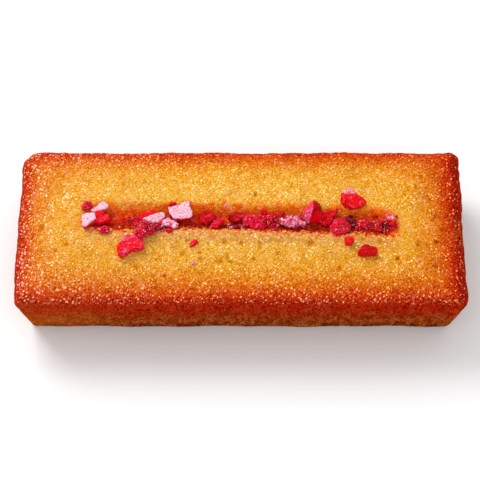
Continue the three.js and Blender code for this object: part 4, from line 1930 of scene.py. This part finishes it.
@dataclass
class DrupeletScraps:
    """Scraps of berry made up of drupelets: beads on a spiral over a core, all covered with small grains."""

    seats: tuple[Seat, ...] = (
        Seat((-30.8, 3.2), (2.2, 1.9, 1.7), turn=20, tone=0.25),
        Seat((-27.1, -2.4), (2.4, 1.5, 1.3), turn=-10, tone=0.1),
        Seat((-19.2, -3.0), (4.4, 3.4, 2.6), turn=35, prop=0.1, tone=0.35),
        Seat((-16.5, -1.8), (2.2, 1.8, 1.6), tone=0.6),
        Seat((1.7, 0.5), (2.4, 2.6, 2.2), turn=10, prop=0.2),
        Seat((3.4, -0.3), (2.8, 3.4, 2.5), turn=-12, prop=0.2),
        Seat((5.7, 1.0), (3.2, 1.7, 1.8), turn=12, prop=0.1),
        Seat((19.7, -1.9), (4.3, 3.8, 2.6), turn=48, prop=0.2, tone=0.1),
        Seat((21.7, 0.1), (2.4, 2.6, 2.2), prop=0.2, tone=1.0),
        Seat((25.0, -0.6), (3.6, 2.0, 1.7), turn=-10, prop=0.1, tone=0.3),
        Seat((28.3, -1.5), (3.0, 2.6, 2.3), tone=0.3, hollow=0.5),
    )
    beads: int = 6
    core_radius: float = 0.9
    bead_radius: Range = (0.55, 0.78)
    reach: float = 0.78
    rise: float = 0.67
    top: float = 0.95
    fall: float = 1.1
    stray: float = 0.5
    roundness: int = 5
    pattern_step: float = 11.0
    lump_size: float = 0.7
    lump_height: float = 0.3
    swell_wave: float = 1.6
    swell_share: float = 0.6
    hollow_side: Point3 = (0.3, -0.35, 0.89)
    hollow_range: Range = (0.55, 0.9)
    # Painted shade: the right side is darker, away from the light, and so are the creases between grains.
    painted_shade_side: Range = (-0.7, 0.7)
    crease_range: Range = (0.6, 0.0)
    painted_crease_shade: float = 0.35
    grain_seed: int = 7
    grains_per_area: float = 26.0
    grain_radius: Range = (0.1, 0.24)
    grain_tone: Range = (-0.4, 0.15)
    grain_dust: Range = (0.5, 1.0)
    grain_stray: float = 0.8
    grain_wave: float = 2.4
    covered_from: float = -0.3
    cover_lift: float = 0.04
    strewn_lift: float = 0.05
    strewn_spread: float = 0.45
    dusted_share: float = 0.05
    heaps: tuple[Heap, ...] = (
        Heap((4.2, 0.2), (3.1, 1.5), 1.2, 260),
        Heap((-1.2, -0.5), (1.6, 0.8), 0.3, 60, tone=0.5, dusted=0.4),
        Heap((-19.0, 0.2), (2.4, 0.9), 0.3, 70, tone=0.1),
        Heap((-21.8, 1.2), (1.6, 1.0), 0.1, 40, tone=0.45),
        Heap((-15.6, -2.4), (2.4, 0.6), 0.3, 70, tone=0.3),
        Heap((24.2, -0.9), (5.4, 1.2), 0.7, 300, tone=0.3),
        Heap((30.4, -1.2), (0.8, 1.2), 0.8, 80, tone=0.2),
        # Dark grains where only shade lies between the pieces: a painted shadow.
        Heap((7.0, -0.1), (1.5, 0.8), 0.2, 50, tone=0.9),
        Heap((-2.9, 3.3), (0.5, 0.4), 0.1, 7, dusted=0.8),
    )
    finish: DrupeletFinish = field(default_factory=DrupeletFinish)

    def build(self, cake: Cake) -> bpy.types.Object:
        """Builds and dresses the scraps.

        Args:
            cake: The cake that they lie on.

        Returns:
            The scraps as one piece.
        """
        scraps = [self._scrap(seat, number, cake) for number, seat in enumerate(self.seats, start=1)]
        draw = random.Random(self.grain_seed)
        for scrap, seat in zip(scraps, self.seats):
            self._cover(scrap, seat, draw)
        loose = layered_mesh("shade", "dust")
        for heap in self.heaps:
            self._strew(loose, heap, draw, cake)
        return finish_piece([*scraps, loose], "drupelet_scraps", self.finish.build(), "berry_drupelet")

    def _cover(self, mesh: bmesh.types.BMesh, seat: Seat, draw: random.Random) -> None:
        """Covers a scrap with grains.

        Args:
            mesh: The scrap, in its place.
            seat: Its seat.
            draw: The stream of random numbers.
        """
        shade = mesh.verts.layers.float["shade"]
        mesh.normal_update()
        bare = [vert for vert in mesh.verts if vert.normal.z > self.covered_from]
        spots = [(vert.co + vert.normal * self.cover_lift, vert[shade]) for vert in bare]
        count = round(self.grains_per_area * seat.size[0] * seat.size[1])
        for place, dark in draw.sample(spots, count):
            self._grain(mesh, place, dark, self.dusted_share, draw)

    def _strew(self, mesh: bmesh.types.BMesh, heap: Heap, draw: random.Random, cake: Cake) -> None:
        """Strews the grains of a heap.

        Args:
            mesh: The mesh that takes them.
            heap: The heap.
            draw: The stream of random numbers.
            cake: The cake that it lies on.
        """
        for _ in range(heap.count):
            across = draw.gauss(0.0, self.strewn_spread)
            along = draw.uniform(-1.0, 1.0)
            x, y = heap.at[0] + along * heap.reach[0], heap.at[1] + across * heap.reach[1]
            mound = heap.high * max(0.0, 1 - across * across) * max(0.0, 1 - along**2) * draw.random()
            place = Vector((x, y, cake.top_height(x, y) + self.strewn_lift + mound))
            self._grain(mesh, place, heap.tone, heap.dusted, draw)

    def _grain(
        self, mesh: bmesh.types.BMesh, place: Vector, dark: float, dusted_share: float, draw: random.Random
    ) -> None:
        """Adds one uneven grain.

        Args:
            mesh: The mesh that takes it.
            place: Its middle.
            dark: How dark its surroundings are.
            dusted_share: How likely it is dusted pale.
            draw: The stream of random numbers.
        """
        radius = draw.uniform(*self.grain_radius)
        tone = dark + draw.uniform(*self.grain_tone)
        dusted = draw.uniform(*self.grain_dust) if draw.random() < dusted_share else 0.0
        shade, dust = mesh.verts.layers.float["shade"], mesh.verts.layers.float["dust"]
        seat = Matrix.Translation(place)
        for vert in bmesh.ops.create_icosphere(mesh, subdivisions=1, radius=radius, matrix=seat)["verts"]:
            outward = vert.co - place
            vert.co = place + outward * (1 + self.grain_stray * noise.noise(vert.co * self.grain_wave))
            vert[shade] = tone
            vert[dust] = dusted

    def _bead_places(self, seed: int) -> list[tuple[Vector, float]]:
        """Middles and radii of the core and the beads round it.

        Args:
            seed: The scrap's number.

        Returns:
            The middles and radii, the core's first.
        """
        draw = seeded_numbers(seed)
        least, most = self.bead_radius
        places = [(Vector((0.0, 0.0, 0.0)), self.core_radius)]
        for number in range(self.beads):
            height = self.top - self.fall * number / self.beads
            reach = self.reach * math.sqrt(1 - height * height)
            angle = GOLDEN_ANGLE * number + self.stray * next(draw)
            radius = least + (most - least) * next(draw)
            # The part's source turns each bead by a third number, which makes no odds to a round one.
            next(draw)
            middle = Vector((reach * math.cos(angle), reach * math.sin(angle), self.rise * height))
            places.append((middle, radius))
        return places

    def _scrap(self, seat: Seat, seed: int, cake: Cake) -> bmesh.types.BMesh:
        """Builds one scrap in its place.

        Args:
            seat: Its place and size.
            seed: Its number.
            cake: The cake that it lies on.

        Returns:
            The scrap's mesh.
        """
        mesh = layered_mesh("shade", "dust")
        shade = mesh.verts.layers.float["shade"]
        beads = self._bead_places(seed)
        scale = min(seat.size) / 2
        pattern = Vector((self.pattern_step * seed, 0.0, 0.0))
        hollow_side = Vector(self.hollow_side)
        bmesh.ops.create_icosphere(mesh, subdivisions=self.roundness, radius=1.0)
        for vert in mesh.verts:
            heading = vert.co.normalized()
            spot = heading * self._reach_towards(heading, beads)
            point = spot * scale + pattern
            grain = granules(point, self.lump_size) + self.swell_share * noise.noise(point * self.swell_wave)
            # Painted shade: darker on the right side, in the creases between grains, and inside the hollow.
            inside = smoothstep(*self.hollow_range, heading.dot(hollow_side)) if seat.hollow else 0.0
            crease_shade = self.painted_crease_shade * smoothstep(*self.crease_range, grain)
            vert[shade] = seat.tone * (0.5 + smoothstep(*self.painted_shade_side, heading.x)) + crease_shade + inside
            vert.co = spot * (1 - seat.hollow * inside) + heading * (self.lump_height / scale * (grain - 0.5))
        seat.settle(mesh, cake)
        return mesh

    @staticmethod
    def _reach_towards(heading: Vector, beads: list[tuple[Vector, float]]) -> float:
        """How far the beads reach from the scrap's middle in a direction.

        Args:
            heading: The direction.
            beads: Middles and radii of the core and its beads.

        Returns:
            The distance to the outermost bead's far side.
        """
        furthest = 0.0
        for middle, radius in beads:
            ahead = heading.dot(middle)
            inside = radius**2 - middle.length_squared + ahead**2
            if inside >= 0:
                furthest = max(furthest, ahead + math.sqrt(inside))
        return furthest


@dataclass
class BerryCrumbs:
    """Loose crumbs of berry: a few large ones where they fell, and small ones scattered along the dimple."""

    seats: tuple[Seat, ...] = (
        Seat((-13.7, 3.7), (1.9, 1.2, 1.1), turn=10),
        Seat((-14.1, -2.7), (1.1, 1.0, 0.9)),
        Seat((-0.9, -1.0), (1.3, 0.9, 0.9), prop=0.1, tone=1.0),
        Seat((4.6, 2.1), (1.6, 1.2, 1.8), prop=0.3),
        Seat((7.9, 1.6), (2.2, 1.0, 1.2), turn=18, prop=0.5),
        Seat((-9.3, -5.5), (2.3, 1.2, 1.0), turn=45),
        Seat((-9.3, -9.6), (0.9, 0.8, 0.5), sunk_share=0.45),
        Seat((27.0, 1.3), (1.2, 0.8, 0.8)),
    )
    small_count: int = 130
    small_size: Range = (0.25, 0.8)
    small_flatness: Range = (0.5, 0.9)
    spread: float = 0.9
    near_shift: float = -0.4
    end_gap: float = 1.0
    pale_share: float = 0.05
    pale_flesh: float = 0.7
    red_flesh: float = 0.1
    tone: Range = (0.0, 0.6)
    pattern_reach: float = 50.0
    lump_waves: tuple[Point2, ...] = ((1.4, 0.5), (3.1, 0.2))
    large_roundness: int = 3
    small_roundness: int = 2
    draw_seed: int = 11

    def build(self, cake: Cake, material: bpy.types.Material) -> bpy.types.Object:
        """Builds and dresses the crumbs.

        Args:
            cake: The cake that they lie on.
            material: Their finish.

        Returns:
            The crumbs as one piece.
        """
        draw = random.Random(self.draw_seed)
        crumbs = [self._crumb(seat, draw, self.large_roundness, cake) for seat in self.seats]
        for _ in range(self.small_count):
            crumbs.append(self._crumb(self._small_seat(draw, cake), draw, self.small_roundness, cake))
        return finish_piece(crumbs, "berry_crumbs", material, "berry_skin")

    def _small_seat(self, draw: random.Random, cake: Cake) -> Seat:
        """A place for a small crumb, in the dimple or close by.

        Args:
            draw: The stream of random numbers.
            cake: The cake that it lies on.

        Returns:
            The seat.
        """
        dimple = cake.dimple
        least, most = self.small_size
        x = draw.uniform(dimple.start + self.end_gap, dimple.end - self.end_gap)
        y = dimple.middle_y + dimple.skew * x + draw.gauss(self.near_shift, self.spread)
        length = least + (most - least) * draw.random() ** 2
        width = length * draw.uniform(*self.small_flatness)
        height = length * draw.uniform(*self.small_flatness)
        return Seat((x, y), (length, width, height), turn=draw.uniform(0, 180))

    def _crumb(self, seat: Seat, draw: random.Random, roundness: int, cake: Cake) -> bmesh.types.BMesh:
        """Builds one crumb in its place.

        Args:
            seat: Its place and size.
            draw: The stream of random numbers.
            roundness: How finely it is divided.
            cake: The cake that it lies on.

        Returns:
            The crumb's mesh.
        """
        mesh = layered_mesh("flesh", "shade")
        flesh, shade = mesh.verts.layers.float.values()
        bmesh.ops.create_icosphere(mesh, subdivisions=roundness, radius=1.0)
        pattern = Vector((draw.uniform(0, self.pattern_reach), draw.uniform(0, self.pattern_reach), 0.0))
        pale = self.pale_flesh if draw.random() < self.pale_share else self.red_flesh
        dark = draw.uniform(*self.tone) + seat.tone
        for vert in mesh.verts:
            lumps = [height * noise.noise(vert.co * wave + pattern) for wave, height in self.lump_waves]
            vert.co *= 1 + sum(lumps)
            vert[flesh] = pale
            vert[shade] = dark
        seat.settle(mesh, cake)
        return mesh


@dataclass
class Seeds:
    """Small dark seeds among the berries."""

    seats: tuple[Seat, ...] = (
        Seat((-1.6, -0.1), (1.1, 0.6, 0.5), turn=25, prop=0.3),
        Seat((-0.4, -0.5), (0.9, 0.6, 0.5), turn=-35, prop=0.2),
        Seat((-17.6, -3.0), (0.9, 0.6, 0.5), turn=70, prop=1.0),
        Seat((21.4, -0.6), (1.1, 0.6, 0.5), turn=10, prop=1.6),
        Seat((23.2, -0.2), (0.9, 0.5, 0.5), turn=-40, prop=0.4),
    )
    roundness: int = 3
    tone: Range = (0.0, 0.5)
    taper: float = 0.45
    taper_range: Range = (-0.2, 1.0)
    draw_seed: int = 3
    finish: SeedFinish = field(default_factory=SeedFinish)

    def build(self, cake: Cake) -> bpy.types.Object:
        """Builds and dresses the seeds.

        Args:
            cake: The cake that they lie on.

        Returns:
            The seeds as one piece.
        """
        draw = random.Random(self.draw_seed)
        seeds = [self._seed(seat, draw, cake) for seat in self.seats]
        return finish_piece(seeds, "seeds", self.finish.build(), "berry_seed")

    def _seed(self, seat: Seat, draw: random.Random, cake: Cake) -> bmesh.types.BMesh:
        """Builds one drop-shaped seed in its place.

        Args:
            seat: Its place and size.
            draw: The stream of random numbers.
            cake: The cake that it lies on.

        Returns:
            The seed's mesh.
        """
        mesh = layered_mesh("shade")
        shade = mesh.verts.layers.float["shade"]
        tone = draw.uniform(*self.tone)
        bmesh.ops.create_icosphere(mesh, subdivisions=self.roundness, radius=1.0)
        for vert in mesh.verts:
            vert[shade] = tone
            girth = 1 - self.taper * smoothstep(*self.taper_range, vert.co.x)
            vert.co = (vert.co.x, vert.co.y * girth, vert.co.z * girth)
        seat.settle(mesh, cake)
        return mesh


@dataclass
class Studio:
    """Pale floor, soft light from the back left, and the camera. Sizes are in metres."""

    target: Point3 = (-0.00012, 0.0, 0.0079)
    distance: float = 0.371
    elevation: float = 60.0
    lens: float = 136.8
    floor_size: float = 1.5
    key_from: Point3 = (-0.34, 0.40, 0.50)
    key_size: float = 0.4
    key_power: float = 3.4 * STUDIO_BRIGHTNESS
    fill_from: Point3 = (0.15, -0.6, 0.45)
    fill_size: float = 0.5
    fill_power: float = 0.6 * STUDIO_BRIGHTNESS
    sky: float = 0.75 * STUDIO_BRIGHTNESS
    finish: FloorFinish = field(default_factory=FloorFinish)

    def build(self) -> None:
        """Sets up the floor, the lights, the surroundings and the camera."""
        scene = bpy.context.scene
        scene.view_settings.view_transform = "Standard"
        self._floor()
        self._light("key_light", self.key_from, self.key_size, self.key_power)
        self._light("fill_light", self.fill_from, self.fill_size, self.fill_power)
        world = bpy.data.worlds.new("surroundings")
        world.use_nodes = True
        background = world.node_tree.nodes["Background"]
        background.inputs["Color"].default_value = (1.0, 1.0, 1.0, 1.0)
        background.inputs["Strength"].default_value = self.sky
        scene.world = world
        scene.camera = self._camera()

    def _floor(self) -> None:
        """Lays the floor."""
        mesh = bmesh.new()
        bmesh.ops.create_grid(mesh, x_segments=1, y_segments=1, size=self.floor_size)
        data = bpy.data.meshes.new("floor")
        mesh.to_mesh(data)
        mesh.free()
        data.materials.append(self.finish.build())
        floor = bpy.data.objects.new("floor", data)
        bpy.context.scene.collection.objects.link(floor)
        floor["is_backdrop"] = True

    def _light(self, name: str, place: Point3, size: float, power: float) -> None:
        """Adds a soft square light that faces the cake.

        Args:
            name: The light's name.
            place: Where it stands.
            size: Its side.
            power: Its power in watts.
        """
        data = bpy.data.lights.new(name, "AREA")
        data.size = size
        data.energy = power
        light = bpy.data.objects.new(name, data)
        light.location = place
        light.rotation_euler = (Vector(place) - Vector(self.target)).to_track_quat("Z", "Y").to_euler()
        bpy.context.scene.collection.objects.link(light)

    def _camera(self) -> bpy.types.Object:
        """Adds the camera, in front of the cake and looking down on it.

        Returns:
            The camera.
        """
        data = bpy.data.cameras.new("camera")
        data.lens = self.lens
        camera = bpy.data.objects.new("camera", data)
        tilt = math.radians(self.elevation)
        away = Vector((0.0, -math.cos(tilt), math.sin(tilt)))
        camera.location = Vector(self.target) + away * self.distance
        camera.rotation_euler = Euler((math.pi / 2 - tilt, 0.0, 0.0))
        bpy.context.scene.collection.objects.link(camera)
        return camera


def main() -> None:
    """Builds the pieces in order, reports them and notes the model's size."""
    logging.basicConfig(level=logging.INFO, format="%(name)s: %(message)s")
    noise.seed_set(NOISE_SEED)
    Studio().build()
    cake = Cake()
    cake.build()
    slice_material = SliceFinish().build()
    PALE_SLICES.build(cake, slice_material)
    RED_SLICES.build(cake, slice_material)
    DrupeletScraps().build(cake)
    BerryCrumbs().build(cake, slice_material)
    Seeds().build(cake)
    boxes = {"cad": CAD_BOX, "visual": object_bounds()}
    plain = {name: [list(map(float, corner)) for corner in box] for name, box in boxes.items()}
    log.info("boxes: %s", plain)


if __name__ == "__main__":
    main()
